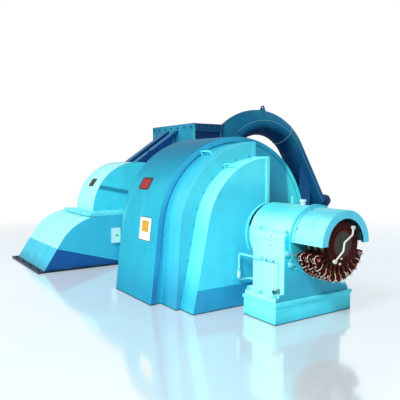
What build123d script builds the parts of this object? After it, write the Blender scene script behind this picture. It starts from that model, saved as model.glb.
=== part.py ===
"""Horizontal hydroelectric set: a Pelton turbine under a low plate casing, fed from above by a
bent steel pipe, and an arch-topped generator with a brush-and-slip-ring end.

Millimetres. X runs along the shaft towards the slip rings, Y across it towards the feed pipe,
Z up. The origin is on the floor, under the shaft, at the generator's mid-length.
"""
from build123d import *
import math
import os

# Shaft and running clearances
SHAFT_HEIGHT = 815.0
SHAFT_RADIUS = 150.0
JOURNAL_RADIUS = 135.0
SHAFT_END_RADIUS = 122.0
JOURNAL_CLEARANCE = 0.1
SHAFT_TUNNEL_CLEARANCE = 20.0
MOVING_CLEARANCE = 6.0
SEAT_CLEARANCE = 0.3
# How far from a plane an edge may lie and still be taken as in it
PLANE_TOLERANCE = 0.1

# Stator housing, an arch with leaning sides
STATOR_LENGTH = 950.0
STATOR_HALF_WIDTH = 1240.0
STATOR_ARCH_RADIUS = 1146.0
STATOR_CENTRE_DROP = 30.0
STATOR_RIM_WIDTH = 62.0
STATOR_RIM_DEPTH = 34.0
END_PLATE_THICKNESS = 20.0
HOUSING_EDGE_RADIUS = 14.0

# Half covers stepped out from the end plate, on the side away from the feed pipe
AIR_COVER_LENGTH = 316.0
AIR_COVER_HALF_WIDTH = 1100.0
AIR_COVER_RADIUS = 1044.0
AIR_COVER_CENTRE_DROP = 15.0
END_COVER_LENGTH = 252.0
END_COVER_HALF_WIDTH = 1039.0
END_COVER_RADIUS = 853.0
COVER_LIP_WIDTH = 46.0
COVER_LIP_HEIGHT = 12.0
COVER_EDGE_RADIUS = 10.0
SEAL_RING_RADIUS = 338.0
SEAL_RING_THICKNESS = 30.0
SEAL_COLLAR_RADIUS = 262.0

# Lifting handles on the covers
HANDLE_SPAN = 192.0
HANDLE_REACH = 60.0
HANDLE_ROD_RADIUS = 8.0
HANDLE_ANGLE = 121.5
HANDLE_FROM_EDGE = 22.0

# Bearing pedestals
BEARING_BASE_GAP = 231.0
BEARING_BASE_LENGTH = 524.0
BEARING_BASE_HALF_WIDTH = 566.0
BEARING_BASE_DROP = 596.0
BASE_TOP_THICKNESS = 32.0
BASE_TOP_OVERHANG = 14.0
FOOT_HALF_WIDTH = 536.0
FOOT_THICKNESS = 44.0
FOOT_PAD_HALF_WIDTH = 492.0
FOOT_PAD_THICKNESS = 30.0
PEDESTAL_HALF_WIDTH = 430.0
PEDESTAL_INSET = 33.0
PEDESTAL_EDGE_RADIUS = 22.0
CAP_SHOULDER_HEIGHT = 92.0
CAP_SHOULDER_RADIUS = 60.0
BARREL_RADIUS = 345.0
BARREL_OVERHANG = 150.0
BARREL_END_WALL = 60.0
LINER_RADIUS = 200.0
BEARING_FLANGE_RADIUS = 366.0
BEARING_FLANGE_THICKNESS = 26.0

# Hood over the brush gear
HOOD_LENGTH = 388.0
HOOD_RADIUS = 337.0
HOOD_WALL = 12.0
HOOD_OPENING_RADIUS = 252.0
HOOD_RING_THICKNESS = 24.0
HOOD_FLANGE_RADIUS = 352.0
HOOD_FLANGE_THICKNESS = 20.0

# Slip rings and brush gear
DRUM_RADIUS = 196.0
DRUM_FACE_RADIUS = 222.0
DRUM_FACE_THICKNESS = 26.0
SLIP_RING_RADIUS = 222.0
SLIP_RING_WIDTH = 46.0
BRUSH_ROWS = 3
BRUSH_ROW_WIDTH = 90.0
FIRST_BRUSH_ROW = 96.0
DRUM_BACK_GAP = 24.0
DRUM_FRONT_MARGIN = 68.0
YOKE_INNER_RADIUS = 306.0
YOKE_OUTER_RADIUS = 384.0
YOKE_THICKNESS = 22.0
YOKE_START_ANGLE = 196.0
YOKE_END_ANGLE = 344.0
BRUSHES_PER_ROW = 11
BRUSH_BOX_WIDTH = 30.0
BRUSH_BOX_LENGTH = 44.0
STUD_RADIUS = 11.0
STUD_CIRCLE_RADIUS = 346.0
STUD_ANGLES = (202.0, 247.0, 293.0, 338.0)
STUD_PROJECTION = 16.0
KNOB_RADIUS = 36.0
KNOB_LENGTH = 40.0
LEAD_RADIUS = 9.0
LEAD_BEND_RADIUS = 26.0
LEAD_LIFT = 13.0
LEAD_TERMINAL_RADIUS = 19.0
LEAD_TERMINAL_LENGTH = 26.0
# Each point is (Y, height over the shaft) on the drum's face
LEAD_ROUTE = ((132.0, 154.0), (124.0, 82.0), (6.0, 16.0), (-6.0, -66.0), (-124.0, -160.0))

# Oil pipes and fittings on the slip-ring end pedestal
OIL_PIPE_RADIUS = 11.0
OIL_PIPE_BEND = 30.0
OIL_PIPE_STANDOFF = 30.0
OIL_PIPE_DROP = 203.0
OIL_PIPE_FALL = 294.0
OIL_PIPE_INSET = 165.0
OIL_PIPE_REACH = 190.0
OIL_PIPE_RETURN = 150.0
OIL_GLASS_RADIUS = 21.0
OIL_GLASS_LENGTH = 74.0
OIL_GLASS_DROP = 225.0
DRAIN_PIPE_RADIUS = 7.0
DRAIN_PIPE_BEND = 22.0
DRAIN_PIPE_STANDOFF = 24.0
DRAIN_RUN = 225.0
DRAIN_PIPE_OFFSET = 40.0
DRAIN_VALVE_RADIUS = 20.0
DRAIN_VALVE_HEIGHT = 46.0
DRAIN_WHEEL_RADIUS = 17.0
DRAIN_WHEEL_THICKNESS = 10.0
FILLER_RADIUS = 26.0
FILLER_HEIGHT = 58.0
FILLER_CAP_RADIUS = 36.0
FILLER_CAP_HEIGHT = 22.0
FILLER_FROM_FRONT = 175.0
BREATHER_RADIUS = 9.0
BREATHER_HEIGHT = 84.0
BREATHER_FROM_FILLER = 159.0
PLUG_RADIUS = 30.0
PLUG_LENGTH = 30.0
PLUG_HEX_RADIUS = 20.0
# Each plug is (Y, drop below the shaft) on the pedestal's front face
PLUG_PLACES = ((-396.0, 110.0), (-345.0, 225.0))

# Turbine casing
TURBINE_GAP = 110.0
CASING_HALF_LENGTH = 740.0
CASING_FOOT_HALF_WIDTH = 1727.0
SPLIT_DROP = 25.0
CASING_LEAN = 57.5
CASING_SHOULDER_RADIUS = 758.0
BASE_FLANGE_THICKNESS = 23.0
BASE_FLANGE_MARGIN = 40.0
BASE_FLANGE_SIDE_MARGIN = 100.0
CASING_EDGE_RADIUS = 12.0
HOOD_PLATE_THICKNESS = 46.0
HOOD_PLATE_INSET = 707.0
HOOD_PLATE_MARGIN = 10.0
HOOD_PLATE_REAR_MARGIN = 76.0
HOOD_PLATE_GROOVE = 8.0
HOOD_PLATE_GROOVE_DEPTH = 14.0
TURBINE_HOOD_HALF_LENGTH = 366.0
HOOD_SIDE_GAP = 67.0
SHAFT_HOUSING_RADIUS = 232.0
SHAFT_BLIND_DEPTH = 160.0
BRACKET_WIDTH = 138.0
BRACKET_HEIGHT = 236.0
BRACKET_DEPTH = 70.0
BRACKET_Y = -600.0
BRACKET_DROP = 200.0

# Nozzle chamber and the slanted duct between it and the hood
CHAMBER_END_INSET = 20.0
CHAMBER_FOOT_INSET = 187.0
CHAMBER_DEPTH = 665.0
CHAMBER_RISE = 1480.0
CHAMBER_LID_THICKNESS = 16.0
CHAMBER_LID_OVERHANG = 12.0
CHAMBER_PANEL_RECESS = 45.0
CHAMBER_PANEL_BAND = 130.0
CHAMBER_PANEL_POST = 55.0
DUCT_HALF_WIDTH = 242.0
DUCT_APEX_DROP = 90.0
DUCT_RIB_WIDTH = 148.0
DUCT_RECESS = 135.0
DUCT_LUG_RADIUS = 34.0
DUCT_LUG_HOLE_RADIUS = 13.0
DUCT_LUG_THICKNESS = 16.0
DUCT_LUG_PLACE = 0.3
# Angles about the shaft, from +Y towards +Z, at which the duct's two edges meet the round hood
DUCT_FRONT_ANGLE = 88.0
DUCT_BACK_ANGLE = 54.2

# Feed pipe
PIPE_OUTER_RADIUS = 255.0
PIPE_WALL = 16.0
PIPE_BEND_RADIUS = 1105.0
PIPE_ENTRY_RISE = 825.0
PIPE_CLIMB_ANGLE = 38.36
PIPE_CORNER_RUN = 2153.0
PIPE_FALL_ANGLE = 58.3
# Angles past the crown at which the bend's three shells are welded together
PIPE_SEAM_ANGLES = (-1.0, 37.0)
PIPE_LEG_LENGTH = 1490.0
PIPE_COLLAR_WIDTH = 60.0
PIPE_COLLAR_HEIGHT = 45.0
FLANGE_RADIUS = 365.0
FLANGE_THICKNESS = 50.0
FLANGE_HUB_RADIUS = 290.0
FLANGE_HUB_LENGTH = 46.0
FLANGE_BOLT_CIRCLE_RADIUS = 330.0
FLANGE_BOLT_COUNT = 20
FLANGE_HOLE_RADIUS = 18.0
PIPE_LUG_TURN = 5.3
PIPE_LUG_WIDTH = 150.0
PIPE_LUG_HEAD_RADIUS = 42.0
PIPE_LUG_HEIGHT = 104.0
PIPE_LUG_THICKNESS = 25.0
PIPE_LUG_HOLE_RADIUS = 20.0
SUPPORT_RUN = 700.0
SUPPORT_LENGTH = 300.0
SUPPORT_HALF_WIDTH = 230.0
SUPPORT_WEB = 30.0
SUPPORT_FOOT_THICKNESS = 25.0
SUPPORT_FOOT_MARGIN = 60.0

# Planes worked out from the sizes above
STATOR_ARCH_CENTRE = SHAFT_HEIGHT - STATOR_CENTRE_DROP
AIR_COVER_CENTRE = SHAFT_HEIGHT - AIR_COVER_CENTRE_DROP
BEARING_BASE_HEIGHT = SHAFT_HEIGHT - BEARING_BASE_DROP
OIL_PIPE_HEIGHT = SHAFT_HEIGHT - OIL_PIPE_DROP
CASING_TOP = SHAFT_HEIGHT - SPLIT_DROP
CHAMBER_TOP = SHAFT_HEIGHT + CHAMBER_RISE
STATOR_END = STATOR_LENGTH / 2
AIR_COVER_END = STATOR_END + AIR_COVER_LENGTH
END_COVER_END = AIR_COVER_END + END_COVER_LENGTH
BASE_BACK = END_COVER_END + BEARING_BASE_GAP
BASE_FRONT = BASE_BACK + BEARING_BASE_LENGTH
PEDESTAL_BACK = BASE_BACK
PEDESTAL_FRONT = BASE_FRONT - PEDESTAL_INSET
BARREL_BACK = PEDESTAL_BACK - BARREL_OVERHANG
FOOT_TOP = BEARING_BASE_HEIGHT + FOOT_THICKNESS
PAD_TOP = FOOT_TOP + FOOT_PAD_THICKNESS
BRUSH_BACK = PEDESTAL_FRONT + BEARING_FLANGE_THICKNESS
HOOD_END = BRUSH_BACK + HOOD_LENGTH
BRUSH_PLANES = [BRUSH_BACK + FIRST_BRUSH_ROW + row * BRUSH_ROW_WIDTH for row in range(BRUSH_ROWS)]
DRUM_BACK = BRUSH_BACK + DRUM_BACK_GAP
DRUM_FRONT = BRUSH_PLANES[-1] + DRUM_FRONT_MARGIN
TUNNEL_RADIUS = SHAFT_RADIUS + SHAFT_TUNNEL_CLEARANCE
LINER_BORE_RADIUS = JOURNAL_RADIUS + JOURNAL_CLEARANCE
CASING_FRONT = -BASE_FRONT - TURBINE_GAP
TURBINE_CENTRE = CASING_FRONT - CASING_HALF_LENGTH
HOOD_FRONT = TURBINE_CENTRE + TURBINE_HOOD_HALF_LENGTH
HOOD_PLATE_TOP = CASING_TOP + HOOD_PLATE_THICKNESS
SHAFT_START = HOOD_FRONT - SHAFT_BLIND_DEPTH
CHAMBER_HALF_LENGTH = CASING_HALF_LENGTH - CHAMBER_END_INSET
CHAMBER_FAR_Y = CASING_FOOT_HALF_WIDTH - CHAMBER_FOOT_INSET
CHAMBER_NEAR_Y = CHAMBER_FAR_Y - CHAMBER_DEPTH
TURBINE_HOOD_RADIUS = CHAMBER_NEAR_Y - HOOD_SIDE_GAP
PIPE_BORE_RADIUS = PIPE_OUTER_RADIUS - PIPE_WALL


def x_cylinder(radius, start, end, y=0.0, z=SHAFT_HEIGHT):
    """A round bar along X between two planes."""
    return extrude(Plane.YZ.offset(start) * Pos(y, z) * Circle(radius), amount=end - start)


def x_ring(outer, inner, start, end):
    """A ring about the shaft line."""
    return x_cylinder(outer, start, end) - x_cylinder(inner, start, end)


def block(x_range, y_range, z_range):
    """A box given by its three ranges."""
    size = [high - low for low, high in (x_range, y_range, z_range)]
    return Pos(x_range[0], y_range[0], z_range[0]) * Box(*size, align=Align.MIN)


def mirrored(solid):
    """The same piece at the other end of the generator."""
    return mirror(solid, about=Plane.YZ)


def turned_round(solid):
    """The same piece at the other end and on the other side of the shaft."""
    return Rot(0, 0, 180) * solid


def arch_face(half_width, radius, centre):
    """An arch on the floor whose straight sides lean in, tangent to the round top."""
    reach = math.hypot(half_width, centre)
    foot_angle = math.atan2(-centre, -half_width) + math.tau
    side_angle = foot_angle - math.acos(radius / reach)
    side_y = radius * math.cos(side_angle)
    side_z = centre + radius * math.sin(side_angle)
    outline = Polyline((side_y, side_z), (-half_width, 0), (half_width, 0), (-side_y, side_z))
    top = ThreePointArc((-side_y, side_z), (0, centre + radius), (side_y, side_z))
    return make_face([outline, top])


def arch_solid(half_width, radius, centre, start, end):
    """The arch drawn out along X."""
    return extrude(Plane.YZ.offset(start) * arch_face(half_width, radius, centre), amount=end - start)


def outer_end_edges(solid, x):
    """The edges that lie in one cross plane, without those on the floor or round the shaft."""
    in_plane = solid.edges().filter_by_position(Axis.X, x - PLANE_TOLERANCE, x + PLANE_TOLERANCE)
    wanted = []
    for edge in in_plane:
        middle = edge @ 0.5
        from_shaft = math.hypot(middle.Y, middle.Z - SHAFT_HEIGHT)
        if middle.Z > 1 and from_shaft > SEAL_RING_RADIUS:
            wanted.append(edge)
    return wanted


def stator_housing():
    """The arch-topped housing: a raised rim stands round a shallow recess at each end."""
    body = arch_solid(STATOR_HALF_WIDTH, STATOR_ARCH_RADIUS, STATOR_ARCH_CENTRE, -STATOR_END, STATOR_END)
    body = fillet(outer_end_edges(body, STATOR_END) + outer_end_edges(body, -STATOR_END), HOUSING_EDGE_RADIUS)
    for start in (-STATOR_END, STATOR_END - STATOR_RIM_DEPTH):
        body -= rim_opening(start, start + STATOR_RIM_DEPTH)
    return body - x_cylinder(TUNNEL_RADIUS, -STATOR_END, STATOR_END)


def rim_opening(start, end):
    """The arch-shaped space inside the housing's rim."""
    half_width = STATOR_HALF_WIDTH - STATOR_RIM_WIDTH
    radius = STATOR_ARCH_RADIUS - STATOR_RIM_WIDTH
    return arch_solid(half_width, radius, STATOR_ARCH_CENTRE, start, end)


def end_plate():
    """The flat plate that closes the housing inside its rim."""
    start = STATOR_END - STATOR_RIM_DEPTH
    plate = rim_opening(start, start + END_PLATE_THICKNESS)
    return plate - x_cylinder(TUNNEL_RADIUS, start, start + END_PLATE_THICKNESS)


def half_cover(start, end, half_width, radius, centre):
    """Half an arch box with a raised lip along its upright split edge."""
    body = arch_solid(half_width, radius, centre, start, end)
    body = fillet(outer_end_edges(body, end), COVER_EDGE_RADIUS)
    lip_radius = radius + COVER_LIP_HEIGHT
    lip_half_width = half_width + COVER_LIP_HEIGHT
    lip = arch_solid(lip_half_width, lip_radius, centre, start, end + COVER_LIP_HEIGHT)
    height = 2 * STATOR_ARCH_RADIUS
    near_side = block((start, end), (-height, 0), (0, height))
    lip_strip = block((start, end + COVER_LIP_HEIGHT), (-COVER_LIP_WIDTH, 0), (0, height))
    cover = (body & near_side) + (lip & lip_strip)
    return cover - x_cylinder(TUNNEL_RADIUS, start, end + COVER_LIP_HEIGHT)


def air_cover():
    """The larger half cover, standing on the end plate."""
    start = STATOR_END - STATOR_RIM_DEPTH + END_PLATE_THICKNESS
    cover = half_cover(start, AIR_COVER_END, AIR_COVER_HALF_WIDTH, AIR_COVER_RADIUS, AIR_COVER_CENTRE)
    reach = AIR_COVER_END + COVER_LIP_HEIGHT
    lip_seat = arch_solid(
        END_COVER_HALF_WIDTH, END_COVER_RADIUS + COVER_LIP_HEIGHT, SHAFT_HEIGHT, AIR_COVER_END, reach)
    return cover - lip_seat


def end_cover():
    """The smaller half cover, standing on the face of the larger one."""
    return half_cover(AIR_COVER_END, END_COVER_END, END_COVER_HALF_WIDTH, END_COVER_RADIUS, SHAFT_HEIGHT)


def seal_ring():
    """The half flange on the end cover and its collar, which reaches the bearing barrel."""
    start = END_COVER_END
    end = BARREL_BACK - SEAT_CLEARANCE
    ring = x_cylinder(SEAL_RING_RADIUS, start, start + SEAL_RING_THICKNESS)
    ring += x_cylinder(SEAL_COLLAR_RADIUS, start, end)
    ring -= x_cylinder(TUNNEL_RADIUS, start, end)
    reach = 2 * SEAL_RING_RADIUS
    cover_side = block((start, start + reach), (-reach, -COVER_LIP_WIDTH - SEAT_CLEARANCE),
                       (0, SHAFT_HEIGHT + reach))
    return ring & cover_side


def cover_handle(back_x, radius, centre):
    """A U-shaped rod welded on a cover's round top, along its back edge."""
    turn = math.radians(HANDLE_ANGLE)
    outward = Vector(0, math.cos(turn), math.sin(turn))
    along = Vector(HANDLE_SPAN, 0, 0)
    foot = Vector(back_x + HANDLE_FROM_EDGE, 0, centre) + outward * radius
    raised = foot + outward * HANDLE_REACH
    path = FilletPolyline(foot, raised, raised + along, foot + along, radius=2.5 * HANDLE_ROD_RADIUS)
    rod = sweep(Plane(foot, z_dir=outward) * Circle(HANDLE_ROD_RADIUS), path=path)
    sunk = x_cylinder(radius, back_x, back_x + 2 * (HANDLE_FROM_EDGE + HANDLE_SPAN), 0, centre)
    return rod - sunk


def cover_handles():
    """One handle on each of the two covers."""
    larger = cover_handle(STATOR_END, AIR_COVER_RADIUS, AIR_COVER_CENTRE)
    return Compound([larger, cover_handle(AIR_COVER_END, END_COVER_RADIUS, SHAFT_HEIGHT)])


def bearing_base():
    """The plinth under a bearing, with a proud top plate."""
    half = BEARING_BASE_HALF_WIDTH
    low = BASE_TOP_OVERHANG
    top = BEARING_BASE_HEIGHT - BASE_TOP_THICKNESS
    body = block((BASE_BACK + low, BASE_FRONT - low), (low - half, half - low), (0, top))
    plate = block((BASE_BACK, BASE_FRONT), (-half, half), (top, BEARING_BASE_HEIGHT))
    plate = fillet(plate.edges().filter_by(Axis.Z), BASE_TOP_OVERHANG)
    return body + plate


def pedestal_block(low, high):
    """The pedestal's body between two heights."""
    half = PEDESTAL_HALF_WIDTH
    return block((PEDESTAL_BACK, PEDESTAL_FRONT), (-half, half), (low, high))


def bearing_bores():
    """The space for the liner and the narrower shaft openings at the barrel's ends."""
    liner = x_cylinder(
        LINER_RADIUS + SEAT_CLEARANCE, BARREL_BACK + BARREL_END_WALL, PEDESTAL_FRONT - BARREL_END_WALL)
    return liner + x_cylinder(JOURNAL_RADIUS + MOVING_CLEARANCE, BARREL_BACK, PEDESTAL_FRONT)


def bearing_pedestal():
    """The lower bearing housing: stepped foot, upright body and the barrel's lower half."""
    foot = block((PEDESTAL_BACK, PEDESTAL_FRONT), (-FOOT_HALF_WIDTH, FOOT_HALF_WIDTH),
                 (BEARING_BASE_HEIGHT, FOOT_TOP))
    foot = fillet(foot.edges().filter_by(Axis.Z), PEDESTAL_EDGE_RADIUS)
    pad = block((PEDESTAL_BACK, PEDESTAL_FRONT), (-FOOT_PAD_HALF_WIDTH, FOOT_PAD_HALF_WIDTH),
                (FOOT_TOP, PAD_TOP))
    body = pedestal_block(PAD_TOP, SHAFT_HEIGHT)
    body = fillet(body.edges().filter_by(Axis.Z), PEDESTAL_EDGE_RADIUS)
    barrel = x_cylinder(BARREL_RADIUS, BARREL_BACK, PEDESTAL_FRONT)
    reach = 2 * BARREL_RADIUS
    lower = block((BARREL_BACK, PEDESTAL_FRONT), (-reach, reach), (0, SHAFT_HEIGHT))
    return foot + pad + body + (barrel & lower) - bearing_bores()


def bearing_cap():
    """The upper bearing housing, split from the pedestal at the shaft's height."""
    shoulder_top = SHAFT_HEIGHT + CAP_SHOULDER_HEIGHT
    shoulders = pedestal_block(SHAFT_HEIGHT, shoulder_top)
    shoulders = fillet(shoulders.edges().filter_by(Axis.Z), PEDESTAL_EDGE_RADIUS)
    long_top = shoulders.edges().filter_by(Axis.X).sort_by(Axis.Z)[-2:]
    shoulders = fillet(long_top, CAP_SHOULDER_RADIUS)
    barrel = x_cylinder(BARREL_RADIUS, BARREL_BACK, PEDESTAL_FRONT)
    reach = 2 * BARREL_RADIUS
    upper = block((BARREL_BACK, PEDESTAL_FRONT), (-reach, reach), (SHAFT_HEIGHT, SHAFT_HEIGHT + reach))
    return shoulders + (barrel & upper) - bearing_bores()


def bearing_liner():
    """The bearing metal round the journal."""
    start = BARREL_BACK + BARREL_END_WALL
    return x_ring(LINER_RADIUS, LINER_BORE_RADIUS, start, PEDESTAL_FRONT - BARREL_END_WALL)


def bearing_flange():
    """The ring that closes the barrel's outer end."""
    return x_ring(BEARING_FLANGE_RADIUS, JOURNAL_RADIUS + MOVING_CLEARANCE, PEDESTAL_FRONT, BRUSH_BACK)


def brush_hood():
    """The upper half-round hood over the brush gear: back flange, thin wall and front ring."""
    ring_back = HOOD_END - HOOD_RING_THICKNESS
    flange = x_ring(HOOD_FLANGE_RADIUS, HOOD_OPENING_RADIUS, BRUSH_BACK, BRUSH_BACK + HOOD_FLANGE_THICKNESS)
    wall = x_ring(HOOD_RADIUS, HOOD_RADIUS - HOOD_WALL, BRUSH_BACK, ring_back)
    front = x_ring(HOOD_RADIUS, HOOD_OPENING_RADIUS, ring_back, HOOD_END)
    front_edges = front.edges().filter_by_position(Axis.X, HOOD_END - PLANE_TOLERANCE, HOOD_END + PLANE_TOLERANCE)
    front = fillet(front_edges, HOOD_WALL / 2)
    reach = 2 * HOOD_RADIUS
    upper = block((BRUSH_BACK, HOOD_END), (-reach, reach), (SHAFT_HEIGHT, SHAFT_HEIGHT + reach))
    return (flange + wall + front) & upper


def around_shaft(angle, radius):
    """Y and Z at an angle about the shaft, counted from +Y towards +Z."""
    turn = math.radians(angle)
    return radius * math.cos(turn), SHAFT_HEIGHT + radius * math.sin(turn)


def yoke_sector():
    """The part of a cross plane that a brush yoke covers."""
    start, end = YOKE_START_ANGLE, YOKE_END_ANGLE
    middle = (start + end) / 2
    inner = [around_shaft(angle, YOKE_INNER_RADIUS) for angle in (start, middle, end)]
    outer = [around_shaft(angle, YOKE_OUTER_RADIUS) for angle in (start, middle, end)]
    return make_face([
        ThreePointArc(*inner), Line(inner[2], outer[2]), ThreePointArc(*outer), Line(outer[0], inner[0])])


def brush_yokes():
    """Curved insulating bars under the slip rings, one for each ring."""
    yokes = []
    for plane_x in BRUSH_PLANES:
        start = plane_x - YOKE_THICKNESS / 2
        yoke = extrude(Plane.YZ.offset(start) * yoke_sector(), amount=YOKE_THICKNESS)
        for angle in STUD_ANGLES:
            y, z = around_shaft(angle, STUD_CIRCLE_RADIUS)
            yoke -= x_cylinder(STUD_RADIUS + SEAT_CLEARANCE, start, start + YOKE_THICKNESS, y, z)
        yokes.append(yoke)
    return Compound(yokes)


def brush_angles():
    """Evenly spread places of the brush holders along a yoke."""
    step = (YOKE_END_ANGLE - YOKE_START_ANGLE) / BRUSHES_PER_ROW
    return [YOKE_START_ANGLE + step * (place + 0.5) for place in range(BRUSHES_PER_ROW)]


def brush_holders():
    """Square boxes between each yoke and its slip ring, set radially."""
    low = SLIP_RING_RADIUS + MOVING_CLEARANCE
    high = math.sqrt(YOKE_INNER_RADIUS ** 2 - (BRUSH_BOX_WIDTH / 2) ** 2) - SEAT_CLEARANCE
    holders = []
    for plane_x in BRUSH_PLANES:
        for angle in brush_angles():
            box = Box(BRUSH_BOX_LENGTH, high - low, BRUSH_BOX_WIDTH)
            holders.append(Pos(plane_x, 0, SHAFT_HEIGHT) * Rot(angle, 0, 0) * Pos(0, (low + high) / 2, 0) * box)
    return Compound(holders)


def brush_studs():
    """Long studs from the bearing flange that carry the yokes; the nearest one also carries the knobs."""
    end = BRUSH_PLANES[-1] + YOKE_THICKNESS / 2 + STUD_PROJECTION
    studs = []
    for angle in STUD_ANGLES:
        y, z = around_shaft(angle, STUD_CIRCLE_RADIUS)
        knob_length = KNOB_LENGTH if angle == STUD_ANGLES[0] else 0
        studs.append(x_cylinder(STUD_RADIUS, BRUSH_BACK, end + knob_length, y, z))
    return Compound(studs)


def terminal_knobs():
    """Round terminal heads on the nearest stud, one before each yoke."""
    y, z = around_shaft(STUD_ANGLES[0], STUD_CIRCLE_RADIUS)
    knobs = []
    for plane_x in BRUSH_PLANES:
        start = plane_x + YOKE_THICKNESS / 2 + SEAT_CLEARANCE
        knob = x_cylinder(KNOB_RADIUS, start, start + KNOB_LENGTH, y, z)
        knob = fillet(knob.edges().sort_by(Axis.X)[-1], KNOB_RADIUS / 3)
        knobs.append(knob - x_cylinder(STUD_RADIUS + SEAT_CLEARANCE, start, start + KNOB_LENGTH, y, z))
    return Compound(knobs)


def main_shaft():
    """One stepped forging from the runner to the slip rings."""
    rear_journal = (-PEDESTAL_FRONT, -BARREL_BACK)
    steps = [
        (SHAFT_START, JOURNAL_RADIUS),
        (rear_journal[1], JOURNAL_RADIUS),
        (rear_journal[1], SHAFT_RADIUS),
        (BARREL_BACK, SHAFT_RADIUS),
        (BARREL_BACK, JOURNAL_RADIUS),
        (DRUM_BACK, JOURNAL_RADIUS),
        (DRUM_BACK, SHAFT_END_RADIUS),
        (DRUM_FRONT, SHAFT_END_RADIUS),
    ]
    outline = Polyline((SHAFT_START, 0), *steps, (DRUM_FRONT, 0), close=True)
    section = Plane.XZ * Pos(0, SHAFT_HEIGHT) * make_face(outline)
    return revolve(section, axis=Axis((0, 0, SHAFT_HEIGHT), (1, 0, 0)))


def slip_ring_drum():
    """The insulated drum on the shaft's end, with a wide front face and seats for the rings."""
    barrel = x_ring(DRUM_RADIUS, SHAFT_END_RADIUS + SEAT_CLEARANCE, DRUM_BACK, DRUM_FRONT)
    face_back = DRUM_FRONT - DRUM_FACE_THICKNESS
    face = x_ring(DRUM_FACE_RADIUS, SHAFT_END_RADIUS + SEAT_CLEARANCE, face_back, DRUM_FRONT)
    rims = face.edges().filter_by_position(Axis.X, DRUM_FRONT - PLANE_TOLERANCE, DRUM_FRONT + PLANE_TOLERANCE)
    return barrel + fillet(rims.sort_by(SortBy.LENGTH)[-1], DRUM_FACE_THICKNESS / 4)


def slip_rings():
    """The rings that the brushes run on."""
    rings = []
    for plane_x in BRUSH_PLANES:
        start = plane_x - SLIP_RING_WIDTH / 2
        rings.append(x_ring(SLIP_RING_RADIUS, DRUM_RADIUS + SEAT_CLEARANCE, start, start + SLIP_RING_WIDTH))
    return Compound(rings)


def slip_ring_lead():
    """The insulated lead across the drum's face, bolted down at both ends."""
    lift = DRUM_FRONT + LEAD_LIFT
    points = [(lift, y, SHAFT_HEIGHT + over) for y, over in LEAD_ROUTE]
    path = FilletPolyline(*points, radius=LEAD_BEND_RADIUS)
    lead = sweep(Plane(path @ 0, z_dir=path % 0) * Circle(LEAD_RADIUS), path=path)
    for _, y, z in (points[0], points[-1]):
        start = DRUM_FRONT + SEAT_CLEARANCE
        lead += x_cylinder(LEAD_TERMINAL_RADIUS, start, start + LEAD_TERMINAL_LENGTH, y, z)
    return lead


def oil_level_pipe():
    """The gauge pipe: out of the pedestal's side, back along it, down and in again."""
    side = -PEDESTAL_HALF_WIDTH
    out = side - OIL_PIPE_STANDOFF
    start_x = PEDESTAL_BACK + OIL_PIPE_INSET
    back_x = PEDESTAL_BACK - OIL_PIPE_REACH
    low = OIL_PIPE_HEIGHT - OIL_PIPE_FALL
    points = [
        (start_x, side, OIL_PIPE_HEIGHT),
        (start_x, out, OIL_PIPE_HEIGHT),
        (back_x, out, OIL_PIPE_HEIGHT),
        (back_x, out, low),
        (back_x, out + OIL_PIPE_RETURN, low),
        (PEDESTAL_BACK, out + OIL_PIPE_RETURN, low),
    ]
    tight = OIL_PIPE_STANDOFF * 0.8
    path = FilletPolyline(*points, radius=[tight, OIL_PIPE_BEND, OIL_PIPE_BEND, OIL_PIPE_BEND])
    return sweep(Plane(points[0], z_dir=(0, -1, 0)) * Circle(OIL_PIPE_RADIUS), path=path)


def oil_level_glass():
    """The thicker sight fitting on the gauge pipe's upright."""
    y = -PEDESTAL_HALF_WIDTH - OIL_PIPE_STANDOFF
    sleeve = Cylinder(OIL_GLASS_RADIUS, OIL_GLASS_LENGTH)
    sleeve -= Cylinder(OIL_PIPE_RADIUS + SEAT_CLEARANCE, OIL_GLASS_LENGTH)
    return Pos(PEDESTAL_BACK - OIL_PIPE_REACH, y, OIL_PIPE_HEIGHT - OIL_GLASS_DROP) * sleeve


def oil_drain_pipe():
    """The thin pipe along the pedestal's side and down to the drain valve."""
    side = -PEDESTAL_HALF_WIDTH
    out = side - DRAIN_PIPE_STANDOFF
    start_x = PEDESTAL_BACK + OIL_PIPE_INSET + DRAIN_PIPE_OFFSET
    end_x = start_x + DRAIN_RUN
    valve_top = PAD_TOP + DRAIN_VALVE_HEIGHT
    points = [
        (start_x, side, OIL_PIPE_HEIGHT), (start_x, out, OIL_PIPE_HEIGHT),
        (end_x, out, OIL_PIPE_HEIGHT), (end_x, out, valve_top)]
    tight = DRAIN_PIPE_STANDOFF * 0.8
    path = FilletPolyline(*points, radius=[tight, DRAIN_PIPE_BEND])
    return sweep(Plane(points[0], z_dir=(0, -1, 0)) * Circle(DRAIN_PIPE_RADIUS), path=path)


def oil_drain_valve():
    """The small valve standing on the foot pad under the drain pipe."""
    x = PEDESTAL_BACK + OIL_PIPE_INSET + DRAIN_PIPE_OFFSET + DRAIN_RUN
    y = -PEDESTAL_HALF_WIDTH - DRAIN_PIPE_STANDOFF
    body = Cylinder(DRAIN_VALVE_RADIUS, DRAIN_VALVE_HEIGHT, align=(Align.CENTER, Align.CENTER, Align.MIN))
    stem = Pos(0, 0, DRAIN_VALVE_HEIGHT / 2) * Rot(90, 0, 0) * Cylinder(
        DRAIN_PIPE_RADIUS, 2 * DRAIN_VALVE_RADIUS, align=(Align.CENTER, Align.CENTER, Align.MIN))
    wheel = Pos(0, -2 * DRAIN_VALVE_RADIUS, DRAIN_VALVE_HEIGHT / 2) * Rot(90, 0, 0) * Cylinder(
        DRAIN_WHEEL_RADIUS, DRAIN_WHEEL_THICKNESS, align=(Align.CENTER, Align.CENTER, Align.MIN))
    return Pos(x, y, PAD_TOP) * (body + stem + wheel)


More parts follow.
